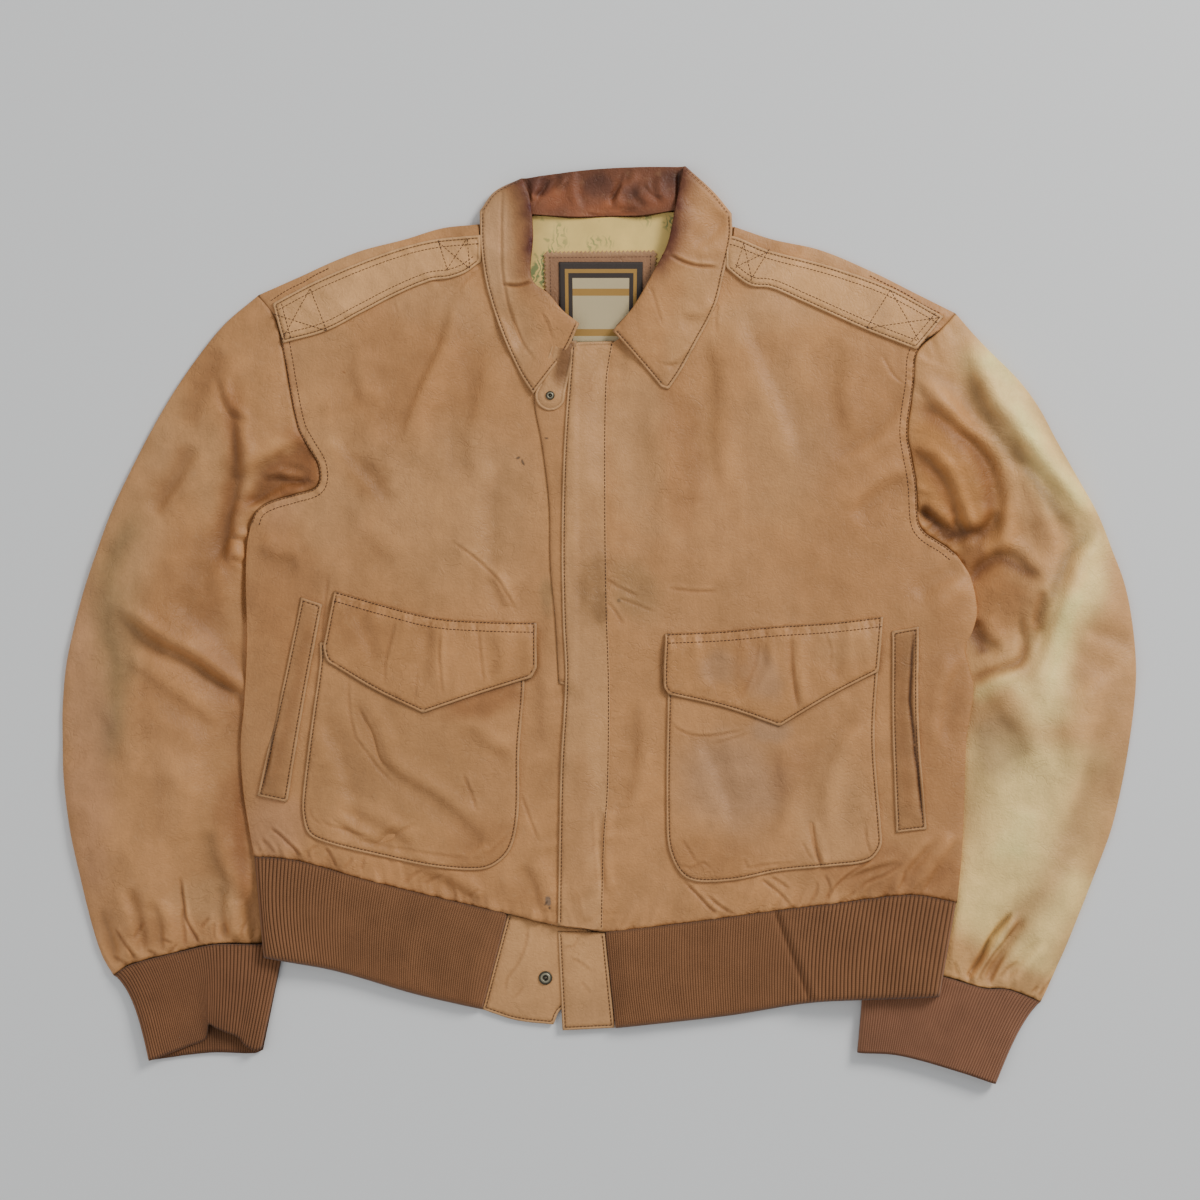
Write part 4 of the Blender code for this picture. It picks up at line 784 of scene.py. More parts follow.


# laid on in order, zone by zone: cream fades, painted shade of folds in brown and olive, scuffs, soot and
# stains, and painted shade in the welts' slits and under the collar leaf
PATCHES = {
    "arm_l": (
        # the olive, brown and darker tan streaks and patches beside folds and by the body are painted shade;
        # cream and pale tan are fading
        Patch(srgb(184, 126, 70), 0.85, 296, 106, 38, 84, 8),
        Streak(CREAM, 0.95, 19, "306,236 328,202 360,154 389,108 411,82"),
        Streak(CREAM, 0.95, 19, "412,90 402,38 386,6 376,-22 368,-50 352,-90"),
        Streak(CREAM, 0.95, 60, "352,-84 344,-140 330,-200 296,-262"),
        Streak(CREAM, 0.7, 7, "304,-60 322,-50 340,-44 352,-60"),
        Streak(PALE_TAN, 0.6, 10, "330,160 348,110 360,70 368,34"),
        Streak(PALE_TAN, 0.8, 13, "418,66 432,20 436,-20 430,-80"),
        Streak(OLIVE, 0.75, 6.5, "298,214 312,178 331,150 351,127 369,104 384,85 402,78"),
        Streak(OLIVE, 0.6, 5, "404,76 388,62 375,38 363,6 352,-20"),
        Streak(BROWN, 0.62, 7, "258,188 280,166 302,147 316,128 319,106 318,84 314,62"),
        Streak(BROWN, 0.6, 6, "252,148 274,126 284,108 290,88 292,66"),
        Streak(srgb(96, 56, 30), 0.75, 7, "262,100 274,86 288,74 300,74 320,78"),
        Streak(srgb(104, 62, 34), 0.7, 6, "304,34 312,46 330,53 346,47 360,36"),
        Streak(srgb(104, 62, 34), 0.75, 7, "306,6 311,-12 316,-26"),
        Streak(BROWN, 0.6, 5, "306,-50 320,-40 344,-32 350,-10"),
        Streak(BROWN, 0.6, 6, "362,30 359,10 354,-6"), Patch(BROWN, 0.5, 322, 20, 24, 34),
        Patch(srgb(118, 74, 40), 0.62, 307, 54, 13, 13, 20), Patch(PALE_TAN, 0.7, 418, -30, 24, 34, 30),
        Streak(CREAM, 0.8, 24, "392,-196 372,-240 352,-286"),
        Streak(srgb(192, 148, 98), 0.65, 12, "410,-96 391,-164 375,-195 359,-224 346,-240 331,-266"),
        Streak(srgb(176, 124, 76), 0.7, 7, "348,-237 333,-265 320,-283 318,-296"),
        Streak(PALE_TAN, 0.7, 10, "437,-10 434,-60 424,-110 410,-150"),
        Streak(OLIVE, 0.4, 13, "306,-60 312,-110 300,-170"),
        Patch(srgb(168, 134, 94), 0.6, 331, -97, 20, 25, -20, 0.8),
        Streak(srgb(150, 100, 58), 0.5, 9, "292,-40 288,-120 270,-200")),
    "arm_r": (
        # the brown, olive and darker tan streaks along folds, by the armpit and beside the body's side are
        # painted shade
        Patch(PALE_TAN, 0.55, -398, 20, 30, 130, -12), Patch(OLIVE, 0.38, -388, -10, 13, 66, -6),
        Patch(PALE_TAN, 0.5, -340, 150, 30, 80, 35), Patch(BROWN, 0.8, -256, 124, 27, 17, 22, 0.6),
        Streak(BROWN, 0.85, 8, "-262,160 -245,152 -236,134 -234,120 -250,111 -272,105 -300,96"),
        Streak(srgb(118, 72, 38), 0.5, 4, "-276,118 -262,122 -250,116 -236,118"),
        Streak(BROWN, 0.7, 8, "-292,-110 -296,-160 -293,-202 -288,-236"),
        Streak(srgb(150, 108, 66), 0.5, 8, "-322,-165 -316,-195 -300,-228"),
        Streak(BROWN, 0.75, 10, "-304,204 -299,166 -298,126 -306,84 -308,55 -296,40"),
        Streak(WORN_AND_SHADED_TAN, 0.6, 15, "-322,40 -318,-10 -300,-60 -292,-110"),
        Streak(WORN_AND_SHADED_TAN, 0.5, 14, "-333,148 -352,113 -366,88"),
        Streak(WORN_AND_SHADED_TAN, 0.5, 14, "-309,228 -328,186 -338,160"),
        Streak(OLIVE, 0.75, 12, "-372,96 -398,50 -402,0 -396,-60 -408,-120"),
        Patch(WORN_AND_SHADED_TAN, 0.35, -330, -60, 50, 40, 20), Patch(BROWN, 0.2, -356, -252, 36, 12, 4),
        Patch(PALE_TAN, 0.5, -322, -226, 26, 18, 4),
        Patch(srgb(152, 102, 58), 0.55, -342, 28, 30, 54, -24), Patch(BROWN, 0.45, -300, -156, 15, 40),
        Patch(PINKISH, 0.35, -420, -100, 20, 120, 4)),
    "body": (
        Patch(PALE_TAN, 0.5, -186, 292, 100, 26, -26), Patch(PALE_TAN, 0.5, 190, 288, 100, 26, 26),
        Patch(PALE_TAN, 0.35, -226, 220, 30, 50), Patch(WORN_AND_SHADED_TAN, 0.35, -160, 200, 70, 60),
        Patch(PALE_TAN, 0.4, -120, 100, 70, 60), Patch(PALE_TAN, 0.35, -230, 120, 40, 50),
        Patch(WORN_AND_SHADED_TAN, 0.5, -256, 24, 32, 60, 10), Patch(PALE_TAN, 0.45, 34, 150, 26, 70, 4),
        Patch(WORN_AND_SHADED_TAN, 0.3, 214, 50, 60, 40), Patch(WORN_AND_SHADED_TAN, 0.2, -268, -40, 18, 100, 0, 0.8),
        # the brown patch by (66, 140) and the one by (-192, 122) are painted shade of folds
        Patch(BROWN, 0.35, 66, 140, 16, 64, 4), Patch(WORN_AND_SHADED_TAN, 0.35, 220, 150, 46, 70),
        Patch(PALE_TAN, 0.3, 150, 150, 34, 60), Patch(WORN_AND_SHADED_TAN, 0.45, 284, -80, 20, 120, 0, 0.8),
        Patch(BROWN, 0.4, 240, -204, 70, 22, -10), Patch(WORN_AND_SHADED_TAN, 0.35, -150, -212, 110, 18, -8),
        Patch(SOOT, 0.85, -66.5, 137, 1.8, 1, 20, 0.7, 0.8),
        Patch(SOOT, 0.85, -62.5, 133.5, 0.9, 2.2, 24, 0.7, 0.8),
        Patch(SOOT, 0.7, 16.2, 20.1, 1.5, 1.6, 0, 0.8, 0.5),
        Patch(srgb(118, 100, 84), 0.8, -41.4, -226.2, 2.3, 3.2, 24, 0.5, 0.8),
        Patch(SOOT, 0.8, -43.2, -227.6, 0.8, 2.4, -30, 0.5, 0.6),
        Patch(SOOT, 0.85, -40.6, -232, 0.9, 1.2, 0, 0.5, 0.5),
        Patch(BROWN, 0.7, -209.2, 207.3, 1.6, 0.7, -30, 0.5, 0.5), Patch(OLIVE, 0.5, -43, 24, 6, 14),
        Patch(OLIVE, 0.4, 30, 30, 20, 24, 30), Patch(PINKISH, 0.35, -262, 150, 16, 70),
        Patch(PINKISH, 0.4, -266, -166, 26, 24), Patch(srgb(154, 106, 62), 0.65, -192, 122, 26, 15, -42)),
    "fly": (
        Patch(SOOT, 0.9, -43.9, 152.9, 2.4, 0.8, 4, 0.7, 0.6),),
    "pocket": (
        Patch(srgb(164, 118, 72), 0.35, -170, -120, 66, 66, 20), Patch(BROWN, 0.6, -96, -60, 36, 15, 14),
        Patch(WORN_AND_SHADED_TAN, 0.4, -90, -180, 40, 20), Patch(ASH, 0.35, 112, -130, 44, 40, 20, 1),
        Patch(ASH, 0.4, 140, -84, 16, 12, 0, 1), Patch(BROWN, 0.3, 165, -120, 24, 22, 0, 1),
        Patch(PALE_TAN, 0.4, 190, -150, 30, 50), Patch(WORN_AND_SHADED_TAN, 0.4, 90, -190, 40, 18)),
    "flap": (
        Patch(ASH, 0.3, 100, -34, 16, 14, -10), Patch(ASH, 0.3, 134, -42, 14, 22, 14),
        Patch(WORN_AND_SHADED_TAN, 0.4, 120, -30, 12, 26), Patch(PALE_TAN, 0.3, 200, -14, 30, 20),
        Patch(WORN_AND_SHADED_TAN, 0.3, -196, -4, 24, 20)),
    "placket": (
        Patch(srgb(150, 104, 62), 0.35, -9, 54, 13, 44, 0, 1),
        Patch(srgb(122, 88, 50), 0.42, -2, 26, 13, 26, 0, 1.2, 0.6),
        Patch(srgb(112, 80, 46), 0.3, 2, 14, 6, 14, 0, 1, 0.7), Patch(WORN_AND_SHADED_TAN, 0.35, -20, -180, 16, 70),
        Patch(WORN_AND_SHADED_TAN, 0.25, -12, 190, 10, 16)),
    "welt": (
        # the two dark streaks are painted shade in each welt's pocket slit
        Streak(srgb(92, 56, 30), 0.9, 1.2, "258.5,0 255.7,-34 254.8,-64 257.7,-93 261,-124 265.5,-166"),
        Streak(srgb(92, 56, 30), 0.9, 1.2, "-245.2,20 -256.5,-25 -261.6,-52 -266.6,-86 -276.6,-140"),
        Streak(WORN_AND_SHADED_TAN, 0.6, 5, "246,-6 248,-80 254,-160"),
        Streak(WORN_AND_SHADED_TAN, 0.6, 5, "-236,12 -250,-60 -268,-138")),
    "stand": (
        Patch(srgb(148, 84, 48), 0.6, -28, 352, 16, 9, 10, 0.9, 0.6),
        Patch(srgb(148, 84, 48), 0.5, 10, 341, 24, 6, 0, 0.9, 0.6),
        Patch(srgb(140, 80, 48), 0.5, 44, 348, 14, 7, 0, 0.9, 0.6),
        Patch(srgb(84, 52, 42), 0.5, 0, 360, 11, 8, 0, 0.9, 0.6),
        Patch(srgb(90, 56, 44), 0.5, 28, 356, 8, 6, 0, 0.9, 0.6),
        Patch(srgb(84, 50, 40), 0.7, -50, 360, 10, 9, 0, 0.9, 0.6),
        Patch(srgb(92, 54, 40), 0.6, 60, 362, 9, 14, 0, 0.9, 0.6),
        Patch(srgb(100, 60, 42), 0.4, 49, 361, 12, 8, 0, 0.9, 0.6)),
    "tab": (
        # painted shade on the neck tab, under the edge of the right collar leaf
        Patch(srgb(116, 76, 43), 0.85, -27, 219, 8, 22, -16, 0.8, 0.2),),
    "collar": (
        Patch(PALE_TAN, 0.5, -78, 250, 20, 60, 18), Patch(PALE_TAN, 0.5, 80, 250, 20, 60, -18),
        Patch(srgb(212, 164, 116), 0.6, -86, 318, 15, 46, 4)),
}


def beside(xy: np.ndarray, runs: list[Line], reach: float) -> np.ndarray:
    """1 on the runs, falling smoothly to 0 at `reach` mm from them."""
    result = np.zeros(len(xy))
    for run in runs:
        line = curve(run, 4.0)
        near = around(xy, line, reach)
        result[near] = np.maximum(result[near], smooth(1 - np.abs(along(xy[near], line)[1]) / reach))
    return result


def blend(colour: np.ndarray, other: np.ndarray, mask: np.ndarray) -> np.ndarray:
    """Rows of colour moved towards another by a mask."""
    return colour * (1 - mask[:, None]) + other * mask[:, None]


def roll_stain(xy: np.ndarray, roll: Line) -> np.ndarray:
    """Mask of the dark stain by a collar leaf's roll line, stronger near the neck."""
    reach = np.abs(along(xy, curve(roll, 6.0))[1])
    high = smooth((xy[:, 1] - 262 + 14 * noise(xy, 30, 43)) / 46)
    mask = np.exp(-((reach / (13.5 + 4 * noise(xy, 18, 41, 2))) ** 2)) * (0.12 + 0.85 * high)
    return mask * (1 + 0.22 * noise(xy, 7, 47, 2))


def flap_shade(xy: np.ndarray, zone: str, flap: list[Line]) -> np.ndarray:
    """Painted shadow round a flap's free edge, and on it the painted shading of the ripple its top stitching
    draws.
    """
    if zone == "flap":
        t, across = along(xy, curve(flap[0], 2.0))
        band = smooth(1.6 - np.abs(np.abs(across) - 4.6) / 3.2)
        wave = np.sin(2 * np.pi * (t + 1.4 * noise(xy, 22, 71)) / 4.7)
        return 1 + 0.075 * band * wave * (np.abs(across) < 60)
    return 1 - 0.34 * beside(xy, flap[1:], 4.2) * smooth((-4 - xy[:, 1]) / 26)


def paint(xy: np.ndarray, zone: str, edge: np.ndarray) -> np.ndarray:
    """Linear colour of the hide, with painted light and shade of its folds and flaps, and edge wear.

    Args:
        xy: Plan points, in mm.
        zone: The patches that apply.
        edge: Distance to the piece's own edge, in mm.
    Returns:
        (n, 4): red, green, blue and wear 0..1.
    """
    colour = np.tile(GROUNDS.get(zone, TAN), (len(xy), 1))
    for patch in PATCHES.get(zone, ()):
        colour = blend(colour, patch.colour, patch.mask(xy))
    if zone == "collar":
        for roll in (LEAF_R[0], LEAF_L[0]):
            colour = blend(colour, STAIN, roll_stain(xy, roll))
    # painted shade in the troughs of folds and painted light on their ridges, then painted shade in the thin
    # wrinkles
    colour = colour * (1 + 0.05 * np.clip(relief_of(zone, xy), -5.0, 2.0))[:, None]
    colour = colour * (1 + WRINKLE_SHADE * np.clip(wrinkles_of(zone, xy), -1.6, 0.4)[:, None])
    if zone in ("pocket", "body", "flap"):
        for flap in (FLAP_R, FLAP_L):
            colour = colour * flap_shade(xy, zone, flap)[:, None]
    if zone == "arm_l":
        colour = colour * [1.03, 1.0, 0.94]
    if zone == "welt":
        colour = colour * (1 - 0.15 * smooth((edge - 2.8) / 1.6) * (1 + 0.5 * noise(xy, 10, 73, 2)))[:, None]
    drift = 1 + 0.07 * noise(xy, 90, 51) + 0.055 * noise(xy, 26, 53, 2) + 0.035 * noise(xy, 8, 57, 2)
    if zone == "stand":
        drift += 0.4 * noise(xy, 16, 59, 3)
        colour = colour * (1 - 0.35 * smooth((xy[:, 1] - 352) / 22))[:, None]
    warm = 0.03 * noise(xy, 45, 61, 2)
    colour = colour * drift[:, None] * (1 + warm[:, None] * np.array([0.4, 0.0, -1.0]))
    wear = smooth(1 - edge / 3.2) * smooth(0.75 + 0.6 * noise(xy, 14, 67, 2))
    return np.concatenate([np.clip(colour, 0, 1), wear[:, None]], axis=1)


# ------------------------------------------------------------------ shells
class Edge(Enum):
    """How a piece ends along a run: drop in mm, the width it happens over, and its stitched groove."""

    SEAM = (1.8, 4.0, 0.0)
    TURNED = (1.2, 1.9, 0.9)
    RAW = (0.2, 0.8, 0.0)
    ROLL = (2.6, 7.0, 0.0)
    FLAT = (0.0, 1.0, 0.0)


# painted shade on the walls round each piece's edge
EDGE_SHADE = np.array([0.66, 0.6, 0.56, 1.0])
RINGS = (0.6, 1.5, 2.5, 3.4)  # how far inside its edge a fine piece has loops of points
WIDE_RING = 1.9  # the one loop of a coarse piece
EDGE_BAND = RINGS[-1]  # kept free of the lattice along an edge
FINE = 3.0  # pitches below this make a fine piece
HIDE, THINNEST = 1.6, 0.5  # a leather's thickness, and the least a sheet is pressed to
STITCH_INSET, GROOVE = 2.5, 0.7  # how far inside an edge it is sewn, and the groove's half width
WRINKLE_REACH = 4.2  # how far round a thin wrinkle points lie twice as close


def clear_of(xy: np.ndarray, loop: np.ndarray, gap: float) -> np.ndarray:
    """The points that lie inside a loop and more than `gap` mm from it."""
    xy = xy[inside(xy, loop)]
    return xy[np.abs(along(xy, np.concatenate([loop, loop[:1]]))[1]) > gap]


def lattice_of(loop: np.ndarray, pitch: float, fine: list[Line]) -> np.ndarray:
    """A hexagonal lattice inside a loop; on a fine piece it is twice as close along some lines.

    Args:
        loop: The outline, anticlockwise.
        pitch: Spacing of the points, in mm.
        fine: Lines, besides GATHERED, along which points are twice as close.
    Returns:
        The points, all clear of the edge.
    """
    low, high = loop.min(0), loop.max(0)
    rows = np.arange(low[1], high[1], pitch * 0.866)
    columns = np.arange(low[0], high[0], pitch)
    gx, gy = np.meshgrid(columns, rows)
    gx = gx + (np.arange(len(rows)) % 2)[:, None] * pitch / 2
    lattice = clear_of(np.stack([gx.ravel(), gy.ravel()], 1), loop, EDGE_BAND + 0.4 * pitch)
    if pitch >= FINE:
        return lattice
    gather = np.zeros(len(lattice), bool)
    for line, reach in [*GATHERED, *((line, WRINKLE_REACH) for line in fine)]:
        middle = curve(line, 20.0)
        near = np.flatnonzero(around(lattice, middle, reach) & ~gather)
        gather[near] = np.abs(along(lattice[near], middle)[1]) < reach
    dense = lattice[gather]
    spots = [SPOT + centre for centre in SPECKS]
    steps = np.array([(0.0, 0.0), (0.5, 0.0), (0.25, 0.433), (-0.25, 0.433)]) * pitch
    lattice = np.concatenate([lattice[~gather], *(dense + step for step in steps), *spots])
    return clear_of(lattice, loop, EDGE_BAND + 0.25 * pitch)


def triangulate(xy: np.ndarray, count: int) -> tuple[np.ndarray, np.ndarray]:
    """Points and anticlockwise triangles of a plan whose first `count` points are its outline loop."""
    loop = xy[:count]
    edges = [(k, (k + 1) % count) for k in range(count)]
    out = delaunay_2d_cdt([Vector(p) for p in xy], edges, [], 0, 1e-4)
    verts = np.array([tuple(v) for v in out[0]])
    faces = np.array([tuple(f) for f in out[2]], np.int64)
    home = np.array([o[0] if o else -1 for o in out[3]])
    place = np.full(len(xy), -1)
    place[home[home >= 0]] = np.flatnonzero(home >= 0)
    first = place[:count]
    order = np.concatenate([first, np.setdiff1d(np.arange(len(verts)), first)])
    back = np.empty(len(verts), np.int64)
    back[order] = np.arange(len(verts))
    verts, faces = verts[order], back[faces]
    a, b, c = (verts[faces[:, k]] for k in range(3))
    turn = (b - a)[:, 0] * (c - a)[:, 1] - (b - a)[:, 1] * (c - a)[:, 0]
    faces[turn < 0] = faces[turn < 0][:, ::-1]
    return verts, faces[inside((a + b + c) / 3, loop) & (np.abs(turn) > 1e-6)]


def plan(runs: list[np.ndarray], pitch: float, fine: list[Line]) -> tuple[np.ndarray, np.ndarray, int]:
    """Triangulate a closed outline: a loop of edge points, inner rings and a hexagonal lattice.

    Args:
        runs: Smooth lines that join end to end.
        pitch: Spacing of the points, in mm.
        fine: Lines along which points are twice as close.
    Returns:
        Points, triangles (anticlockwise), and how many of the first points make the outline loop.
    """
    loop = np.concatenate([r[:-1] for r in runs])
    if turn_of(loop) < 0:
        loop = loop[::-1]
    closed = np.concatenate([loop, loop[:1]])
    d = np.roll(loop, -1, axis=0) - np.roll(loop, 1, axis=0)
    normal = np.stack([-d[:, 1], d[:, 0]], 1) / np.maximum(np.hypot(d[:, 0], d[:, 1]), 1e-9)[:, None]
    points = [loop]
    for offset in RINGS if pitch < FINE else (WIDE_RING,):
        ring = loop + normal * offset
        points.append(ring[np.abs(along(ring, closed)[1]) > offset * 0.93])
    points.append(lattice_of(loop, pitch, fine))
    return *triangulate(np.concatenate(points), len(loop)), len(loop)


class Builder:
    """Gathers vertices, faces and attributes of one visible piece, then makes its object."""

    def __init__(self, name: str) -> None:
        """Start an empty piece."""
        self.name = name
        self.points: list[np.ndarray] = []
        self.tones: list[np.ndarray] = []
        self.uvs: list[np.ndarray] = []
        self.faces: list[np.ndarray] = []
        self.count = 0

    def add(self, xyz: np.ndarray, tone: np.ndarray, uv: np.ndarray | None = None) -> int:
        """Add vertices with their colour and texture place and return the first one's number."""
        first = self.count
        self.points.append(xyz)
        self.tones.append(np.broadcast_to(tone, (len(xyz), 4)))
        self.uvs.append(np.zeros((len(xyz), 2)) if uv is None else uv)
        self.count += len(xyz)
        return first

    def face(self, faces: np.ndarray) -> None:
        """Add triangles or quads, one row each."""
        self.faces.append(np.asarray(faces))

    def wall(self, upper: np.ndarray, lower: np.ndarray, keep: np.ndarray | None = None) -> None:
        """Quads between two closed loops of vertex numbers, outward for an anticlockwise loop."""
        quads = np.stack([lower, np.roll(lower, -1), np.roll(upper, -1), upper], axis=1)
        self.face(quads if keep is None else quads[keep])

    def sheet(self, top: Surface, runs: list[Line], edges: list[Edge], zone: str, pitch: float = PITCH,
              low: Surface | None = None, under: Surface | None = None, mid: Surface | None = None,
              open_ends: bool = False) -> float:
        """A cloth sheet: its upper side, its edge all round and, where asked, its lower side.

        Near a rolled run both sides close on `mid` by a quarter ellipse. Near any other the upper side
        drops by depth (1 - arch(s / reach)), s the distance to it, and takes its stitched groove.

        Args:
            top: Height of the upper side at plan points, in mm.
            runs: Cut lines that join end to end.
            edges: How each run ends.
            zone: Which patches of colour apply.
            pitch: Spacing of the points, in mm.
            low: Where the edge ends when there is no lower side; a leather's thickness down by default.
            under: Height of the lower side; None leaves it open, where it never shows.
            mid: Height at which rolled edges meet what they are folded to.
            open_ends: Leaves a tube's mouths open, with a turned-down lip, where an edge isn't rolled.
        Returns:
            Plan area in square metres.
        """
        lines = [curve(run, pitch) for run in runs]
        fine = [item.line for item in creases_of(zone) if item.thin]
        xy, faces, count = plan(lines, pitch, fine)
        z = top(xy)
        zb = z - HIDE if under is None else under(xy)
        z = np.maximum(z, zb + THINNEST + 0.1)
        meet = (z + zb) / 2 if mid is None else mid(xy)
        edge, hem, seam = (np.full(len(xy), FAR) for _ in range(3))
        sink, puff = np.zeros(len(xy)), np.ones(len(xy))
        turned = any(kind in (Edge.TURNED, Edge.SEAM) for kind in edges)
        for line, kind in zip(lines, edges):
            depth, reach, groove = kind.value
            s = np.abs(along(xy, line)[1])
            if kind is Edge.ROLL:
                puff = np.minimum(puff, arch(s / reach))
            else:
                sewn = np.exp(-(((s - STITCH_INSET) / GROOVE) ** 2))
                drop = depth * (1 - arch(s / reach)) + groove * sewn
                sink = np.maximum(sink, drop)
            if kind in (Edge.TURNED, Edge.RAW):
                edge = np.minimum(edge, s)
            if kind is Edge.TURNED:
                hem = np.minimum(hem, s)
            if kind is Edge.SEAM:
                seam = np.minimum(seam, s)
        z = meet + (z - sink - meet) * puff
        zb = meet + (zb - meet) * puff
        z = np.maximum(z, zb + THINNEST)
        tone = paint(xy, zone, edge)
        # painted light and shade of a sewn edge: a paler rim, wear and painted highlight both, painted shade
        # in the stitched groove, and a dark line at the very edge, the joint darkened by painted shade
        if turned:
            pale, dark = ((hem - 1.2) / 0.7) ** 2, ((hem - STITCH_INSET) / 0.6) ** 2
            rim = 0.09 * np.exp(-pale) - 0.32 * np.exp(-dark)
            near = np.exp(-((np.minimum(hem, seam) / 0.6) ** 2))
            tone[:, :3] *= (1 + rim - 0.55 * near)[:, None]
        if low is not None:
            zb = np.minimum(low(xy), z - 0.3)
        first = self.add(np.column_stack([xy, z]), tone)
        self.face(faces + first)
        ring = np.arange(count)
        halfway = np.maximum(0.5 * (z + zb), z - 3.0)[:count]
        middle = self.add(np.column_stack([xy[:count], halfway]), tone[:count] * EDGE_SHADE)
        self.wall(ring + first, ring + middle)
        if under is None:
            last = self.add(np.column_stack([xy[:count], zb[:count]]), tone[:count] * EDGE_SHADE)
        else:
            last = self.add(np.column_stack([xy, zb]), tone)
            self.face(faces[:, ::-1] + last)
        rolled = puff[:count] < 0.05
        keep = (rolled & np.roll(rolled, -1)) if open_ends else np.ones(count, bool)
        self.wall(ring + middle, ring + last, keep)
        a, b, c = (xy[faces[:, k]] for k in range(3))
        return float(np.abs(np.cross(b - a, c - a)).sum() / 2) * MM**2

    def grid(self, xyz: np.ndarray, tone: np.ndarray, uv: np.ndarray, flip: bool = False) -> np.ndarray:
        """A rectangular patch of rows and columns; returns its vertex numbers as a grid."""
        rows, columns = xyz.shape[:2]
        first = self.add(xyz.reshape(-1, 3), tone.reshape(-1, 4), uv.reshape(-1, 2))
        ids = np.arange(rows * columns).reshape(rows, columns) + first
        quads = np.stack([ids[:-1, :-1], ids[:-1, 1:], ids[1:, 1:], ids[1:, :-1]], axis=-1).reshape(-1, 4)
        self.face(quads[:, ::-1] if flip else quads)
        return ids

    def build(self, material: bpy.types.Material, nodes: tuple[str, ...] = (),
              slot: str | None = None) -> bpy.types.Object:
        """Make the object, ride it on the part and let it stand for its solid."""
        xyz = np.concatenate(self.points) * MM
        xyz[:, 1] += SHIFT_Y * MM
        loops = np.concatenate([f.ravel() for f in self.faces])
        totals = np.concatenate([np.full(len(f), f.shape[1]) for f in self.faces])
        mesh = bpy.data.meshes.new(self.name)
        mesh.vertices.add(len(xyz))
        mesh.vertices.foreach_set("co", xyz.ravel())
        mesh.loops.add(len(loops))
        mesh.loops.foreach_set("vertex_index", loops)
        mesh.polygons.add(len(totals))
        mesh.polygons.foreach_set("loop_start", np.concatenate([[0], np.cumsum(totals)[:-1]]))
        mesh.polygons.foreach_set("loop_total", totals)
        mesh.update(calc_edges=True)
        mesh.polygons.foreach_set("use_smooth", np.ones(len(totals), bool))
        tone = mesh.color_attributes.new("tone", "FLOAT_COLOR", "POINT")
        tone.data.foreach_set("color", np.concatenate(self.tones).astype(np.float32).ravel())
        layer = mesh.uv_layers.new(name="weave")
        layer.data.foreach_set("uv", np.concatenate(self.uvs)[loops].astype(np.float32).ravel())
        mesh.materials.append(material)
        mesh.validate()
        obj = bpy.data.objects.new(self.name, mesh)
        bpy.context.scene.collection.objects.link(obj)
        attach(obj, "root")
        if nodes:
            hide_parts(*nodes)
        LOG.info("%s: %d faces", self.name, len(totals))
        return obj


# ------------------------------------------------------------------ materials
Socket = bpy.types.NodeSocket
Value = Socket | float
Drawn = tuple[dict[str, Socket | tuple | float], tuple[Socket, float, float] | None]


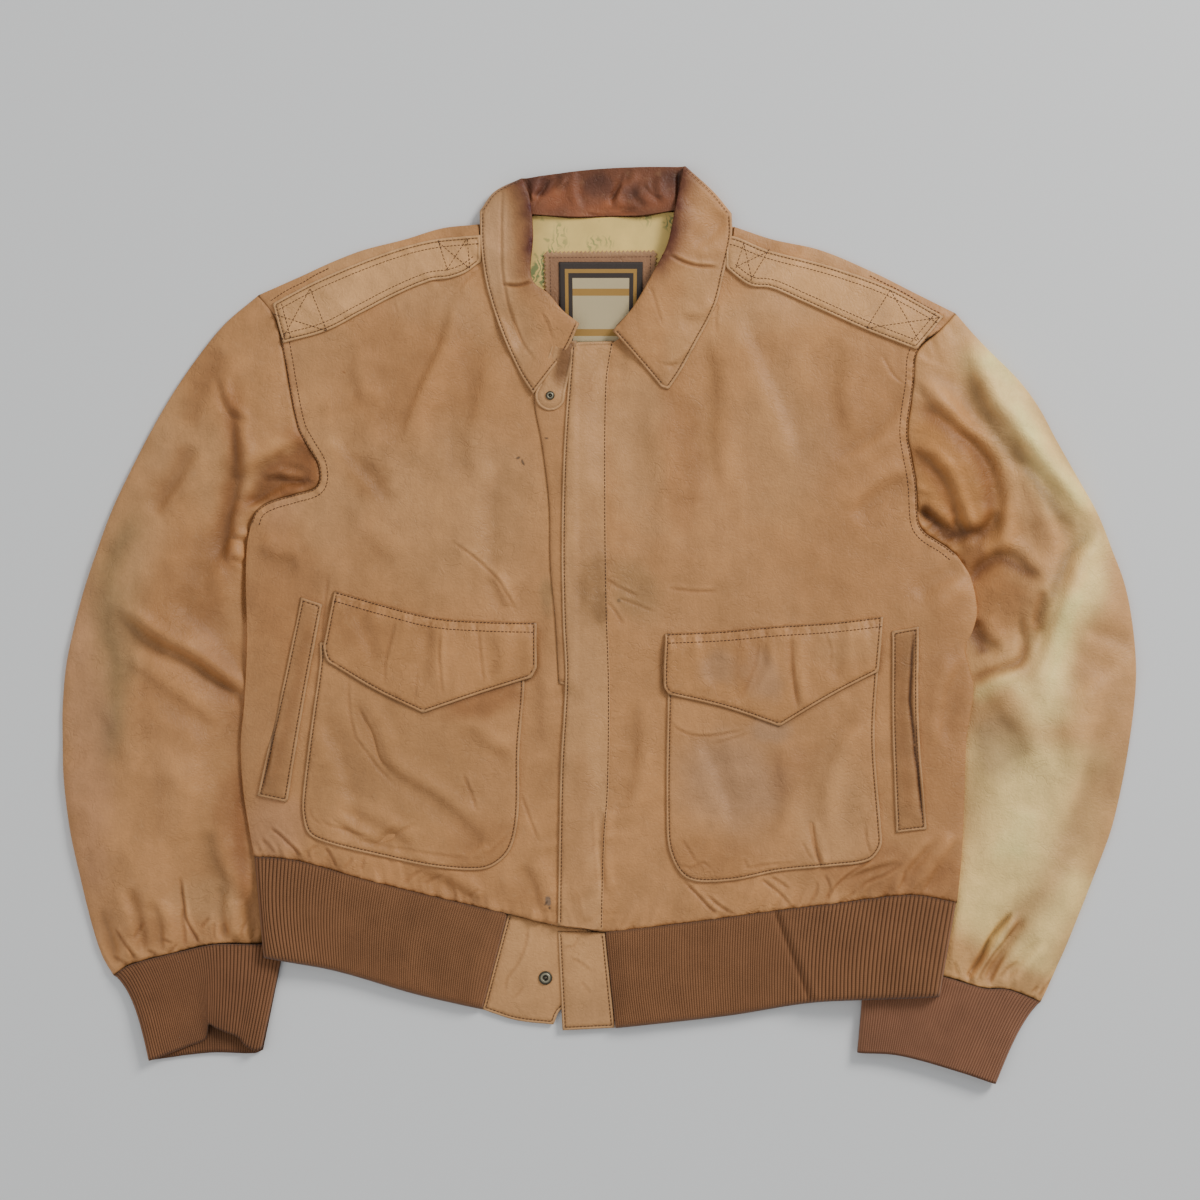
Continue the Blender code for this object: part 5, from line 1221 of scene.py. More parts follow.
class Graph:
    """A thin wrapper that makes a node tree easier to write."""

    def __init__(self, tree: bpy.types.NodeTree) -> None:
        """Start on a tree."""
        self.tree = tree
        self.x = -1400

    def node(self, kind: str, inputs: dict | None = None, **settings: object) -> bpy.types.Node:
        """Add a node.

        Args:
            kind: Its Blender type.
            inputs: Socket names or numbers, with values or with the output sockets that feed them.
            **settings: Properties of the node.
        Returns:
            The node.
        """
        node = self.tree.nodes.new(kind)
        node.location = (self.x, -len(self.tree.nodes) * 40 % 900)
        self.x += 60
        for key, value in settings.items():
            setattr(node, key, value)
        for key, value in (inputs or {}).items():
            if isinstance(value, Socket):
                self.tree.links.new(value, node.inputs[key])
            else:
                node.inputs[key].default_value = value
        return node

    def math(self, operation: str, a: Value, b: Value = 0.0, c: Value = 0.0) -> Socket:
        """A math node's value."""
        return self.node("ShaderNodeMath", {0: a, 1: b, 2: c}, operation=operation).outputs[0]

    def cells(self, place: Socket, scale: float) -> Socket:
        """Distance to the nearest of scattered points."""
        inputs = {"Vector": place, "Scale": scale}
        return self.node("ShaderNodeTexVoronoi", inputs, feature="F1").outputs["Distance"]

    def waves(self, place: Socket, scale: float, bend: float, **more: float) -> Socket:
        """Wave texture value; `more` names further inputs."""
        inputs = {"Vector": place, "Scale": scale, "Distortion": bend, **more}
        return self.node("ShaderNodeTexWave", inputs).outputs["Fac"]

    def noise(self, place: Socket, scale: float, detail: float = 2.0, rough: float = 0.5) -> Socket:
        """Noise texture value."""
        inputs = {"Vector": place, "Scale": scale, "Detail": detail, "Roughness": rough}
        return self.node("ShaderNodeTexNoise", inputs).outputs["Fac"]

    def span(self, value: Value, low: float, high: float, to_low: float, to_high: float) -> Socket:
        """Linear map of one range to another, held to the ends."""
        inputs = {"Value": value, "From Min": low, "From Max": high, "To Min": to_low, "To Max": to_high}
        return self.node("ShaderNodeMapRange", inputs).outputs["Result"]

    def place(self) -> Socket:
        """Object coordinates."""
        return self.node("ShaderNodeTexCoord").outputs["Object"]

    def weave(self) -> tuple[Socket, Socket]:
        """The two weave coordinates."""
        place = self.node("ShaderNodeUVMap", uv_map="weave").outputs[0]
        split = self.node("ShaderNodeSeparateXYZ", {0: place})
        return split.outputs[0], split.outputs[1]

    def tone(self) -> bpy.types.NodeOutputs:
        """Outputs of the painted attribute: Color, and wear as Alpha."""
        return self.node("ShaderNodeAttribute", attribute_name="tone").outputs

    def bent(self, place: Socket, scale: float, reach: tuple[float, float, float]) -> Socket:
        """Coordinates pushed about by noise."""
        wobble = self.node("ShaderNodeTexNoise", {"Vector": place, "Scale": scale, "Detail": 2.0})
        inputs = {0: wobble.outputs["Color"], 1: reach, 2: place}
        return self.node("ShaderNodeVectorMath", inputs, operation="MULTIPLY_ADD").outputs[0]

    def shaded(self, colour: Socket, shade: Value) -> Socket:
        """Colour times a shade value."""
        return self.node("ShaderNodeVectorMath", {0: colour, "Scale": shade}, operation="SCALE").outputs[0]

    def mix(self, share: Value, first: Socket | tuple, second: Socket | tuple) -> Socket:
        """A colour between two, by the second one's share."""
        return self.node("ShaderNodeMix", {0: share, 6: first, 7: second}, data_type="RGBA").outputs[2]


class EffectGroup:
    """A node group that holds an effect: it puts out a shade to multiply by and a height, both numbers."""

    def __init__(self, name: str, given: dict[str, float], outputs: tuple[str, ...]) -> None:
        """Make the tree, its sockets and its two end nodes."""
        self.tree = bpy.data.node_groups.new(name, "ShaderNodeTree")
        for label, value in given.items():
            socket = self.tree.interface.new_socket(label, in_out="INPUT", socket_type="NodeSocketFloat")
            socket.default_value = value
        for label in outputs:
            self.tree.interface.new_socket(label, in_out="OUTPUT", socket_type="NodeSocketFloat")
        self.graph = Graph(self.tree)
        self.given = self.graph.node("NodeGroupInput").outputs
        self.out = self.graph.node("NodeGroupOutput").inputs

    def hand_out(self, **values: Socket) -> bpy.types.NodeTree:
        """Link values to the outputs they are named after."""
        for label, value in values.items():
            self.tree.links.new(value, self.out[label])
        return self.tree


def leather_grain() -> bpy.types.NodeTree:
    """Pebbled grain, fine wrinkles and mottling: a shade to multiply by, a height and a worn mask."""
    effect = EffectGroup("LeatherGrain", {"Scale": 1.0}, ("Shade", "Height", "Scuff"))
    g = effect.graph
    scaled = g.shaded(g.place(), effect.given["Scale"])
    bent = g.bent(scaled, 70.0, (0.012, 0.012, 0.012))
    pebble = g.cells(bent, 520.0)
    wrinkle = g.math("ABSOLUTE", g.math("SUBTRACT", g.noise(bent, 62.0, 3.0, 0.55), 0.5))
    patchy = g.span(g.noise(scaled, 26.0, 3.0), 0.44, 0.64, 0.0, 0.8)
    line = g.math("MULTIPLY", g.span(wrinkle, 0.0, 0.035, 1.0, 0.0), patchy)
    cloudy, speck = g.noise(scaled, 40.0, 4.0, 0.5), g.noise(scaled, 380.0, 3.0, 0.6)
    drawn = g.node("ShaderNodeVectorMath", {0: bent, 1: (2.6, 0.55, 1.0)}, operation="MULTIPLY").outputs[0]
    streak = g.noise(drawn, 46.0, 4.0, 0.6)
    height = g.math("MULTIPLY_ADD", pebble, -0.25, g.math("MULTIPLY", cloudy, 0.7))
    height = g.math("MULTIPLY_ADD", streak, 0.35, height)
    height = g.math("MULTIPLY_ADD", line, -0.28, height)
    shade = g.math("ADD", g.span(cloudy, 0.3, 0.7, 0.91, 1.09), g.span(speck, 0.3, 0.7, -0.05, 0.05))
    shade = g.math("ADD", shade, g.span(streak, 0.3, 0.7, -0.05, 0.05))
    shade = g.math("MULTIPLY_ADD", line, -0.06, shade)
    scuff = g.span(g.noise(bent, 150.0, 4.0, 0.7), 0.56, 0.72, 0.0, 1.0)
    return effect.hand_out(Shade=shade, Height=height, Scuff=scuff)


def knit_weave() -> bpy.types.NodeTree:
    """Rows of knitted loops on the weave coordinates (1 unit a rib across, 1 unit a row down)."""
    effect = EffectGroup("KnitWeave", {"Strength": 1.0}, ("Shade", "Height"))
    g = effect.graph
    u, v = g.weave()
    lean = g.math("PINGPONG", g.math("MULTIPLY", u, 2.0), 1.0)
    row = g.math("PINGPONG", g.math("MULTIPLY_ADD", lean, 0.7, v), 0.5)
    loop = g.span(row, 0.0, 0.5, 0.0, 1.0)
    fuzz, cloudy = g.noise(g.place(), 900.0, 3.0, 0.6), g.noise(g.place(), 40.0, 3.0, 0.6)
    height = g.math("MULTIPLY", g.math("MULTIPLY_ADD", fuzz, 0.5, loop), effect.given["Strength"])
    shade = g.math("ADD", g.span(loop, 0.0, 1.0, 0.86, 1.07), g.span(fuzz, 0.3, 0.7, -0.08, 0.08))
    shade = g.math("ADD", shade, g.span(cloudy, 0.3, 0.7, -0.07, 0.07))
    return effect.hand_out(Shade=shade, Height=height)


class Look(Enum):
    """The finishes a piece may have."""

    LEATHER = "leather"
    KNIT = "knit"
    LINING = "lining"
    LABEL = "label"
    THREAD = "thread"
    METAL = "metal"
    FLOOR = "floor"


@dataclass(frozen=True)
class Finish:
    """A plain finish of one colour; the others draw their own and share its settings."""

    roughness: float
    colour: np.ndarray = field(default_factory=lambda: THREAD_BROWN)
    settings: dict[str, float] = field(default_factory=dict)

    def dress(self, g: Graph, shader: bpy.types.Node) -> None:
        """Set up the shader of a new material."""
        drawn, bump = self.draw(g)
        for name, value in {"Roughness": self.roughness, **self.settings, **drawn}.items():
            if isinstance(value, Socket):
                g.tree.links.new(value, shader.inputs[name])
            else:
                shader.inputs[name].default_value = value
        if bump:
            height, strength, distance = bump
            node = g.node("ShaderNodeBump", {"Height": height, "Strength": strength, "Distance": distance})
            g.tree.links.new(node.outputs[0], shader.inputs["Normal"])

    def draw(self, g: Graph) -> Drawn:
        """What feeds the shader by input name, and the bump as height, strength and distance, or None."""
        return {"Base Color": (*self.colour, 1)}, None


@dataclass(frozen=True)
class Leather(Finish):
    """Painted hide with grain, paler where its edges are worn and rougher in its dark parts."""

    def draw(self, g: Graph) -> Drawn:
        """Colour and grain."""
        tone = g.tone()
        grain = g.node("ShaderNodeGroup", node_tree=bpy.data.node_groups["LeatherGrain"]).outputs
        worn = g.math("MULTIPLY_ADD", tone["Alpha"], 0.42, g.math("MULTIPLY", grain["Scuff"], 0.10))
        colour = g.mix(worn, g.shaded(tone["Color"], grain["Shade"]), (*self.colour, 1))
        rough = g.span(grain["Shade"], 0.8, 1.15, 0.62, 0.5)
        return {"Base Color": colour, "Roughness": rough}, (grain["Height"], 0.6, 0.0016)


@dataclass(frozen=True)
class RibKnit(Finish):
    """Painted ribs with rows of knitted loops."""

    def draw(self, g: Graph) -> Drawn:
        """Colour and loops."""
        loops = g.node("ShaderNodeGroup", node_tree=bpy.data.node_groups["KnitWeave"]).outputs
        return {"Base Color": g.shaded(g.tone()["Color"], loops["Shade"])}, (loops["Height"], 0.5, 0.0006)


@dataclass(frozen=True)
class Lining(Finish):
    """Painted cotton printed with tufts of blades and small leaves."""

    def draw(self, g: Graph) -> Drawn:
        """Print and weave."""
        place = g.place()
        bent = g.bent(place, 120.0, (0.012, 0.012, 0.0))
        blade = g.waves(bent, 75.0, 5.0, **{"Detail": 2.0, "Detail Scale": 2.5})
        tuft = g.span(g.noise(place, 34.0, 1.0), 0.55, 0.63, 0.0, 1.0)
        mask = g.math("MAXIMUM", g.span(g.cells(bent, 70.0), 0.12, 0.22, 0.5, 0.0),
                      g.math("MULTIPLY", tuft, g.span(blade, 0.45, 0.8, 0.0, 0.9)))
        ground = g.shaded(g.tone()["Color"], g.span(g.noise(place, 60.0, 4.0), 0.3, 0.7, 0.9, 1.08))
        weave = g.noise(place, 1500.0, 1.0)
        return {"Base Color": g.mix(mask, ground, (*self.colour, 1))}, (weave, 0.3, 0.0003)


@dataclass(frozen=True)
class Label(Finish):
    """A woven label without lettering: dark borders, an ochre line and band, and a cream centre."""

    dark: np.ndarray = field(default_factory=lambda: srgb(58, 46, 38))
    cream: np.ndarray = field(default_factory=lambda: srgb(206, 186, 142))

    def draw(self, g: Graph) -> Drawn:
        """Borders by the distance to the nearest side, in shares of the label."""
        u, v = g.weave()
        side = g.math("MINIMUM", g.math("MINIMUM", u, g.math("SUBTRACT", 1.0, u)),
                      g.math("MINIMUM", v, g.math("SUBTRACT", 1.0, v)))
        dark, ochre, cream = ((*colour, 1) for colour in (self.dark, self.colour, self.cream))
        off_band = g.math("ABSOLUTE", g.math("SUBTRACT", g.math("PINGPONG", v, 0.5), 0.3))
        band = g.math("LESS_THAN", off_band, 0.035)
        colour: Socket | tuple = dark
        for border, within in ((0.07, ochre), (0.11, dark), (0.16, g.mix(band, cream, ochre))):
            colour = g.mix(g.math("GREATER_THAN", side, border), colour, within)
        thread = g.waves(g.place(), 700.0, 0.4)
        return {"Base Color": g.shaded(colour, g.span(thread, 0, 1, 0.85, 1.08))}, (thread, 0.4, 0.0002)


@dataclass(frozen=True)
class Metal(Finish):
    """Painted metal, dull, with its finish worn through in specks."""

    def draw(self, g: Graph) -> Drawn:
        """Colour with worn specks."""
        worn = g.span(g.noise(g.place(), 420.0, 4.0, 0.65), 0.4, 0.62, 0.0, 1.0)
        share = g.math("MULTIPLY", worn, 0.3)
        return {"Base Color": g.mix(share, g.tone()["Color"], (*self.colour, 1))}, None


FINISHES = {
    Look.LEATHER: Leather(0.56, srgb(222, 176, 126), {"Specular IOR Level": 0.32}),
    Look.KNIT: RibKnit(0.9, settings={"Specular IOR Level": 0.15, "Sheen Weight": 0.15}),
    Look.LINING: Lining(0.7, srgb(122, 138, 84)),
    Look.LABEL: Label(0.65, srgb(176, 132, 60)),
    Look.THREAD: Finish(0.7, THREAD_BROWN),
    Look.METAL: Metal(0.42, srgb(128, 112, 82), {"Metallic": 0.6}),
    Look.FLOOR: Finish(0.9, srgb(236, 236, 234)),
}


class Materials:
    """Makes each finish's material once."""

    def __init__(self) -> None:
        """Make the shared groups."""
        leather_grain()
        knit_weave()
        self.made: dict[Look, bpy.types.Material] = {}

    def get(self, look: Look) -> bpy.types.Material:
        """The material for a finish, made on first use."""
        if look not in self.made:
            material = bpy.data.materials.new("look_" + look.value)
            material.use_nodes = True
            FINISHES[look].dress(Graph(material.node_tree), material.node_tree.nodes["Principled BSDF"])
            self.made[look] = material
        return self.made[look]


# ------------------------------------------------------------------ surfaces shared by the pieces
def level(height: float) -> Surface:
    """A flat surface."""
    return lambda xy: np.full(len(xy), height)


def raised(surface: Surface, offset: float) -> Surface:
    """A surface moved up or down."""
    return lambda xy: surface(xy) + offset


def between(low: Surface, high: Surface) -> Surface:
    """Half-way between two surfaces."""
    return lambda xy: 0.5 * (high(xy) + low(xy))


def covered(relief: Surface, zone: str, share: float = 1.0, offset: float = 0.0) -> Surface:
    """A solid's height with a share of a zone's own relief on it."""
    return lambda xy: relief(xy) + offset + share * relief_of(zone, xy)


class Surfaces:
    """Heights of everything, so that what lies on a piece follows it exactly."""

    def __init__(self) -> None:
        """Read the solids."""
        self.front_cad = Relief(["right_front", "left_front", "right_yoke_strip", "left_yoke_strip"], blur=12)
        self.back_top = Relief(["back_panel"], blur=6)
        self.sleeve = {side: Relief([side + "_sleeve"], blur=12) for side in ("right", "left")}
        self.cuff = {side: Relief([side + "_cuff"], blur=10) for side in ("right", "left")}
        self.waist = Relief(["waist_rib"], blur=10)
        self.stand = Relief(["collar_stand"], blur=6)
        self.lining = Relief(["neck_lining"], blur=6)
        self.tab = Relief(["right_waist_tab"], blur=6)

    def front(self, xy: np.ndarray) -> np.ndarray:
        """The fronts' upper side."""
        return self.front_cad(xy) + relief_of("body", xy)

    def over(self, offset: float, zone: str = "body") -> Surface:
        """A layer that lies `offset` mm above the fronts."""
        return lambda xy: self.front_cad(xy) + relief_of(zone, xy) + offset

    def hinged(self, offset: float, lift: float, hinge: Line, reach: float, zone: str) -> Surface:
        """A layer that rises by `lift` over `reach` mm from the line it hangs by."""
        line = curve(hinge, 4.0)
        return lambda xy: (self.front_cad(xy) + relief_of(zone, xy) + offset
                           + lift * smooth(np.abs(along(xy, line)[1]) / reach))

    def placket(self, xy: np.ndarray) -> np.ndarray:
        """The storm placket: 2.5 mm over the fronts, thinning to 0.3 mm at its seam, and 1.3 mm higher
        where the under-fly lies beneath its edge.
        """
        over_fly = smooth((xy[:, 1] + 58) / 12) * smooth((-16 - xy[:, 0]) / 4)
        seam = smooth((xy[:, 0] + 14) / 18)
        return self.front_cad(xy) + relief_of("body", xy) + 2.5 - 2.2 * seam + 1.3 * over_fly

    def leaf(self, roll: Line) -> Surface:
        """A collar leaf over the fronts.

        It stands 7.2 mm off them by its roll line, rounds over within 9 mm of it, settles to 2.2 mm over
        42 mm, and lifts by 2.8 mm more over the snapped tab beside the right leaf.
        """
        line = curve(roll, 5.0)

        def height(xy: np.ndarray) -> np.ndarray:
            """Height in mm at each point."""
            reach = np.abs(along(xy, line)[1])
            return (self.front_cad(xy) + 0.5 * relief_of("body", xy) + relief_of("collar", xy) + 2.2
                    + 5.0 * (1 - smooth(reach / 42)) - 2.2 * (1 - arch(reach / 9))
                    + 2.8 * np.exp(-(np.hypot(xy[:, 0] + 41, xy[:, 1] - 200) / 20) ** 4))
        return height


def on_table(zone: str) -> Surface:
    """The lower side of a piece that lies on the table, never under 0.15 mm."""
    return lambda xy: np.maximum(0.15 + 0.35 * np.maximum(relief_of(zone, xy + 9), 0), 0.15)


# ------------------------------------------------------------------ knitted ribs
# each band's light and dark: the ribs' crests with painted highlight, their valleys in painted shade
RIB_COLOURS = {"waist": (srgb(148, 102, 68), srgb(90, 58, 37)),
               "right": (srgb(145, 99, 67), srgb(89, 57, 37)),
               "left": (srgb(154, 107, 79), srgb(99, 64, 45))}


EDGE_HALF, OFF_TABLE = 0.25, 0.12  # half a rib's thickness where it closes, and its least height


@dataclass(frozen=True)
class Knit:
    """A band of rib knit between a seam and its other edge, both walked the same way.

    `pitches` gives the width of a rib in mm at shares of the way along: stretched ribs stand out, and
    slack ones close up. `drawn` is how far each end bows inward half-way down, in mm, and `shade` how
    much painted shade darkens the band by its seam.
    """

    seam: Line
    edge: Line
    pitches: tuple[tuple[float, float], ...]
    ridge: float
    colours: str
    lean: float = 0.0
    drawn: tuple[float, float] = (0.0, 0.0)
    shade: float = 0.0

    def plan(self, rows: int, samples: int) -> tuple[np.ndarray, np.ndarray, np.ndarray, np.ndarray]:
        """Plan points of the band's grid.

        Rib numbers run along the seam as the sum of 1 / width, scaled to a whole number of ribs. A row is
        the straight blend of seam and edge, moved along itself by half a sine of `lean` and some sway, and
        drawn in at its ends.

        Args:
            rows: Rows of the grid.
            samples: Columns a rib.
        Returns:
            Points as (rows, columns, 2), and as (rows, columns) the rib number, the share of the way down
            and the rib's width in mm.
        """
        a, b = curve(self.seam, 2.0), curve(self.edge, 2.0)
        length, steps = length_of(a), 2000
        fine = np.linspace(0, 1, steps + 1)
        width = np.interp(fine, [t for t, _ in self.pitches], [w for _, w in self.pitches])
        number = np.concatenate([[0], np.cumsum(length / steps / width[1:])])
        ribs = max(2, round(number[-1]))
        number *= ribs / number[-1]
        count = np.arange(ribs * samples + 1) / samples
        u = np.interp(count, number, fine)
        ends = [places(u * marks_of(line)[-1], line) for line in (a, b)]
        v = np.linspace(0, 1, rows)
        xy = ends[0][None] * (1 - v[:, None, None]) + ends[1][None] * v[:, None, None]
        sway = 0.9 * noise(np.column_stack([u * length * 0.1, np.zeros_like(u)]), 1.0, 71)
        across = np.gradient(xy, axis=1)
        across /= np.maximum(np.linalg.norm(across, axis=2, keepdims=True), 1e-9)
        wave = np.sin(np.pi * v)[:, None] * (sway[None] + self.lean)
        edge = np.minimum(smooth(u * 14), smooth((1 - u) * 14))[None]
        bow = np.sin(np.pi * v**0.7)[:, None] * (self.drawn[0] * (1 - u) ** 3 - self.drawn[1] * u**3)
        xy = xy + across * (wave * edge + bow)[..., None]
        shape = (rows, len(u))
        return (xy, np.broadcast_to(count, shape), np.broadcast_to(v[:, None], shape),
                np.broadcast_to(np.interp(u, fine, width), shape))

    def profile(self, rib: np.ndarray) -> np.ndarray:
        """Rounded ribs with sharp valleys, 0 to 1: (1 - |2 frac - 1|^2.4)^0.6."""
        t = np.abs(2 * (rib - np.floor(rib)) - 1)
        return (1 - t**2.4) ** 0.6

    def band(self, builder: Builder, top: Surface, low: Surface, rows: int, mid: Surface,
             sides: tuple[float, float], roll: float = 0.0, samples: int = 6) -> None:
        """Both sides of the band, closed along all four of its ends; the arguments are those of face."""
        upper = self.face(builder, top, rows, mid, sides, roll, samples, True)
        slab(builder, upper, self.face(builder, low, rows, mid, sides, roll, samples, False))

    def face(self, builder: Builder, top: Surface, rows: int, mid: Surface, sides: tuple[float, float],
             roll: float, samples: int, upward: bool) -> np.ndarray:
        """One side of the band, added as a grid of quads.

        Its height is top + ridge (profile - 1/2), and it closes to `mid` by quarter ellipses.

        Args:
            builder: The piece it goes in.
            top: Its height without the ribs.
            rows: Rows of the grid.
            mid: Height at which sides and edge close.
            sides: Widths over which the two ends of the band close to `mid`.
            roll: Width over which the free edge closes to `mid`, or 0.
            samples: Columns a rib.
            upward: Whether ribs stand up or hang down; the grid faces the same way.
        Returns:
            The grid's vertex numbers.
        """
        xy, rib, v, pitch = self.plan(rows, samples)
        flat = xy.reshape(-1, 2)
        z = top(flat).reshape(rib.shape)
        bump = self.ridge * (self.profile(rib) - 0.5) * np.minimum(pitch / 3.2, 1.2)
        wide = np.linalg.norm(np.diff(xy[rows // 2], axis=0), axis=1).sum()
        tall = float(np.linalg.norm(xy[-1] - xy[0], axis=1).mean())
        share = np.cumsum(pitch, axis=1) / pitch.sum(axis=1, keepdims=True)
        share = (share - share[:, :1]) / (1 - share[:, :1])
        puff = arch(share * wide / sides[0]) * arch((1 - share) * wide / sides[1])
        if roll:
            puff = puff * arch((1 - v) * tall / roll)
        z = z + bump * (1 if upward else -1) * np.sqrt(puff) * smooth(v * tall / 4 + 0.35)
        m = mid(flat).reshape(z.shape)
        z = m + (z - m) * puff + (EDGE_HALF if upward else -EDGE_HALF)
        if not upward:
            z = np.maximum(z, OFF_TABLE)
        # painted highlight on the ribs' crests and painted shade in their valleys
        light, dark = RIB_COLOURS[self.colours]
        mix = (1 - (1 - self.profile(rib) ** 0.8) * np.clip((pitch - 1.3) / 1.9, 0.25, 1.0))[..., None]
        cloudy = 1 + 0.09 * noise(flat, 30, 73, 3).reshape(z.shape)[..., None]
        # both ends of the band darkened: at the seam the dark joint with its painted shade, at the free edge
        # painted shade where it turns under; `shade` adds painted shade towards the seam
        rim = 1 - 0.42 * smooth(1.3 - (1 - v) * tall / 1.6) - 0.42 * smooth(1.3 - v * tall / 1.6)
        rim = (rim * (1 - self.shade * (1 - v**6)))[..., None]
        colour = (dark * (1 - mix) + light * mix) * cloudy * rim
        tone = np.concatenate([colour, np.zeros((*z.shape, 1))], axis=2)
        uv = np.stack([rib, v * tall / 1.5], axis=-1)
        return builder.grid(np.concatenate([xy, z[..., None]], axis=2), tone, uv, upward)


def strip(builder: Builder, upper: np.ndarray, lower: np.ndarray) -> None:
    """Quads between two open rows of vertex numbers."""
    builder.face(np.stack([lower[:-1], lower[1:], upper[1:], upper[:-1]], axis=1))


def slab(builder: Builder, upper: np.ndarray, lower: np.ndarray) -> None:
    """Close a band between its upper and lower grids of vertex numbers along all four sides."""
    for a, b in ((upper[0], lower[0]), (upper[::-1, 0], lower[::-1, 0]), (upper[-1, ::-1], lower[-1, ::-1]),
                 (upper[:, -1], lower[:, -1])):
        strip(builder, b, a)


# ------------------------------------------------------------------ stitches and snaps
@dataclass(frozen=True)
class Row:
    """A row of stitches on a surface."""

    top: Surface
    points: np.ndarray
    radius: float = 0.27
    spacing: float = 3.0
    length: float = 2.3


def offset_row(run: Line, inset: float, cut: float = 2.0) -> np.ndarray:
    """A line moved to its left by `inset` mm and shortened by `cut` mm at both ends."""
    line = curve(run, 3.0)
    d = np.gradient(line, axis=0)
    normal = np.stack([-d[:, 1], d[:, 0]], 1) / np.hypot(d[:, 0], d[:, 1])[:, None]
    line = line + normal * inset
    length = marks_of(line)[-1]
    if length <= 2 * cut + 2:
        return line
    return places(np.linspace(cut, length - cut, max(2, round((length - 2 * cut) / 3))), line)


def stitches(rows: list[Row]) -> Builder:
    """Low capsules laid end to end with small gaps, each sunk a little into its surface.

    Each is four rings of six points round the line between its two ends.
    """
    builder = Builder("stitches")
    sunk, around_it, along_it = 0.1, 6, 4
    shape_u = np.array([-0.5, -0.36, 0.36, 0.5])
    shape_r = np.array([0.35, 1.0, 1.0, 0.35])
    angle = np.arange(around_it) * 2 * math.pi / around_it
    for row in rows:
        length = marks_of(row.points)[-1]
        count = int(length / row.spacing)
        if count < 1:
            continue
        centre = (np.arange(count) + 0.5) * length / count
        ends = []
        for shift in (-0.5, 0.5):
            xy = places(centre + shift * row.length, row.points)
            ends.append(np.column_stack([xy, row.top(xy) - sunk]))
        a, b = ends
        axis = (b - a) / np.linalg.norm(b - a, axis=1)[:, None]
        side = np.stack([-axis[:, 1], axis[:, 0], np.zeros(count)], 1)
        side /= np.linalg.norm(side, axis=1)[:, None]
        up = np.cross(axis, side)
        mean = (a + b) / 2
        reach = np.linalg.norm(b - a, axis=1)
        spoke = (np.cos(angle)[None, None, :, None] * side[:, None, None]
                 + np.sin(angle)[None, None, :, None] * up[:, None, None])
        ring = (mean[:, None, None] + (axis * reach[:, None])[:, None, None] * shape_u[None, :, None, None]
                + row.radius * shape_r[None, :, None, None] * spoke)
        first = builder.add(ring.reshape(-1, 3), np.array([*THREAD_BROWN, 0.0]))
        base = first + np.arange(count)[:, None, None] * around_it * along_it
        k, j = np.arange(along_it - 1)[None, :, None] * around_it, np.arange(around_it)[None, None, :]
        n = (j + 1) % around_it
        corners = (base + k + j, base + k + n, base + k + around_it + n, base + k + around_it + j)
        builder.face(np.stack(np.broadcast_arrays(*corners), axis=-1).reshape(-1, 4))
        far_end = around_it * (along_it - 1)
        for start, order in ((0, (0, 5, 4, 3, 2, 1)), (far_end, (0, 1, 2, 3, 4, 5))):
            builder.face(base[:, 0] + start + np.array(order)[None, :])
    return builder


# colours of a cap from its rim inward, each down to a share of its radius
METAL_TONES = ((0.72, srgb(66, 62, 50)), (0.42, srgb(158, 152, 128)), (0.18, srgb(34, 30, 26)),
               (-1.0, srgb(96, 88, 70)))


def lathe(name: str, centre: Point, base: float, profile: Line, segments: int = 48) -> Builder:
    """A turned shape: (radius, height) pairs from its foot, inward over its top, spun round the axis."""
    builder = Builder(name)
    angle = np.linspace(0, 2 * math.pi, segments, endpoint=False)
    loops = []
    for radius, height in profile:
        xyz = np.column_stack([centre[0] + radius * np.cos(angle), centre[1] + radius * np.sin(angle),
                               np.full(segments, base + height)])
        share = radius / profile[1][0]
        tone = next(colour for down_to, colour in METAL_TONES if share > down_to)
        loops.append(np.arange(segments) + builder.add(xyz, np.array([*tone, 0.0])))
    for lower, upper in zip(loops[:-1], loops[1:]):
        builder.wall(upper, lower)
    builder.face(loops[-1][None, :])
    builder.face(loops[0][::-1][None, :])
    return builder


def connect(runs: list[Line]) -> list[Line]:
    """Turn each run so that it starts where the last one ended."""
    touch = 0.5
    result = [list(runs[0])]
    if min(math.dist(runs[0][-1], runs[1][0]), math.dist(runs[0][-1], runs[1][-1])) > touch:
        result[0].reverse()
    for run in runs[1:]:
        run = list(run)
        result.append(run if math.dist(run[0], result[-1][-1]) < touch else run[::-1])
    return result


def inward(runs: list[Line]) -> float:
    """STITCH_INSET, signed so that offset_row moves a run of a closed outline into it."""
    loop = np.concatenate([np.asarray(run[:-1], float) for run in connect(runs)])
    return STITCH_INSET if turn_of(loop) > 0 else -STITCH_INSET


def pinked(run: Line, tooth: float = 3.5, depth: float = 2.0) -> Line:
    """A zigzag-cut edge: teeth along a straight run."""
    a, b = (np.array(p, float) for p in run)
    count = round(float(np.linalg.norm(b - a)) / tooth)
    d = (b - a) / np.linalg.norm(b - a)
    side = np.array([d[1], -d[0]])
    points = [tuple(a)]
    for k in range(count):
        points.append(tuple(a + (b - a) * (k + 0.5) / count - side * depth))
        points.append(tuple(a + (b - a) * (k + 1) / count))
    return points


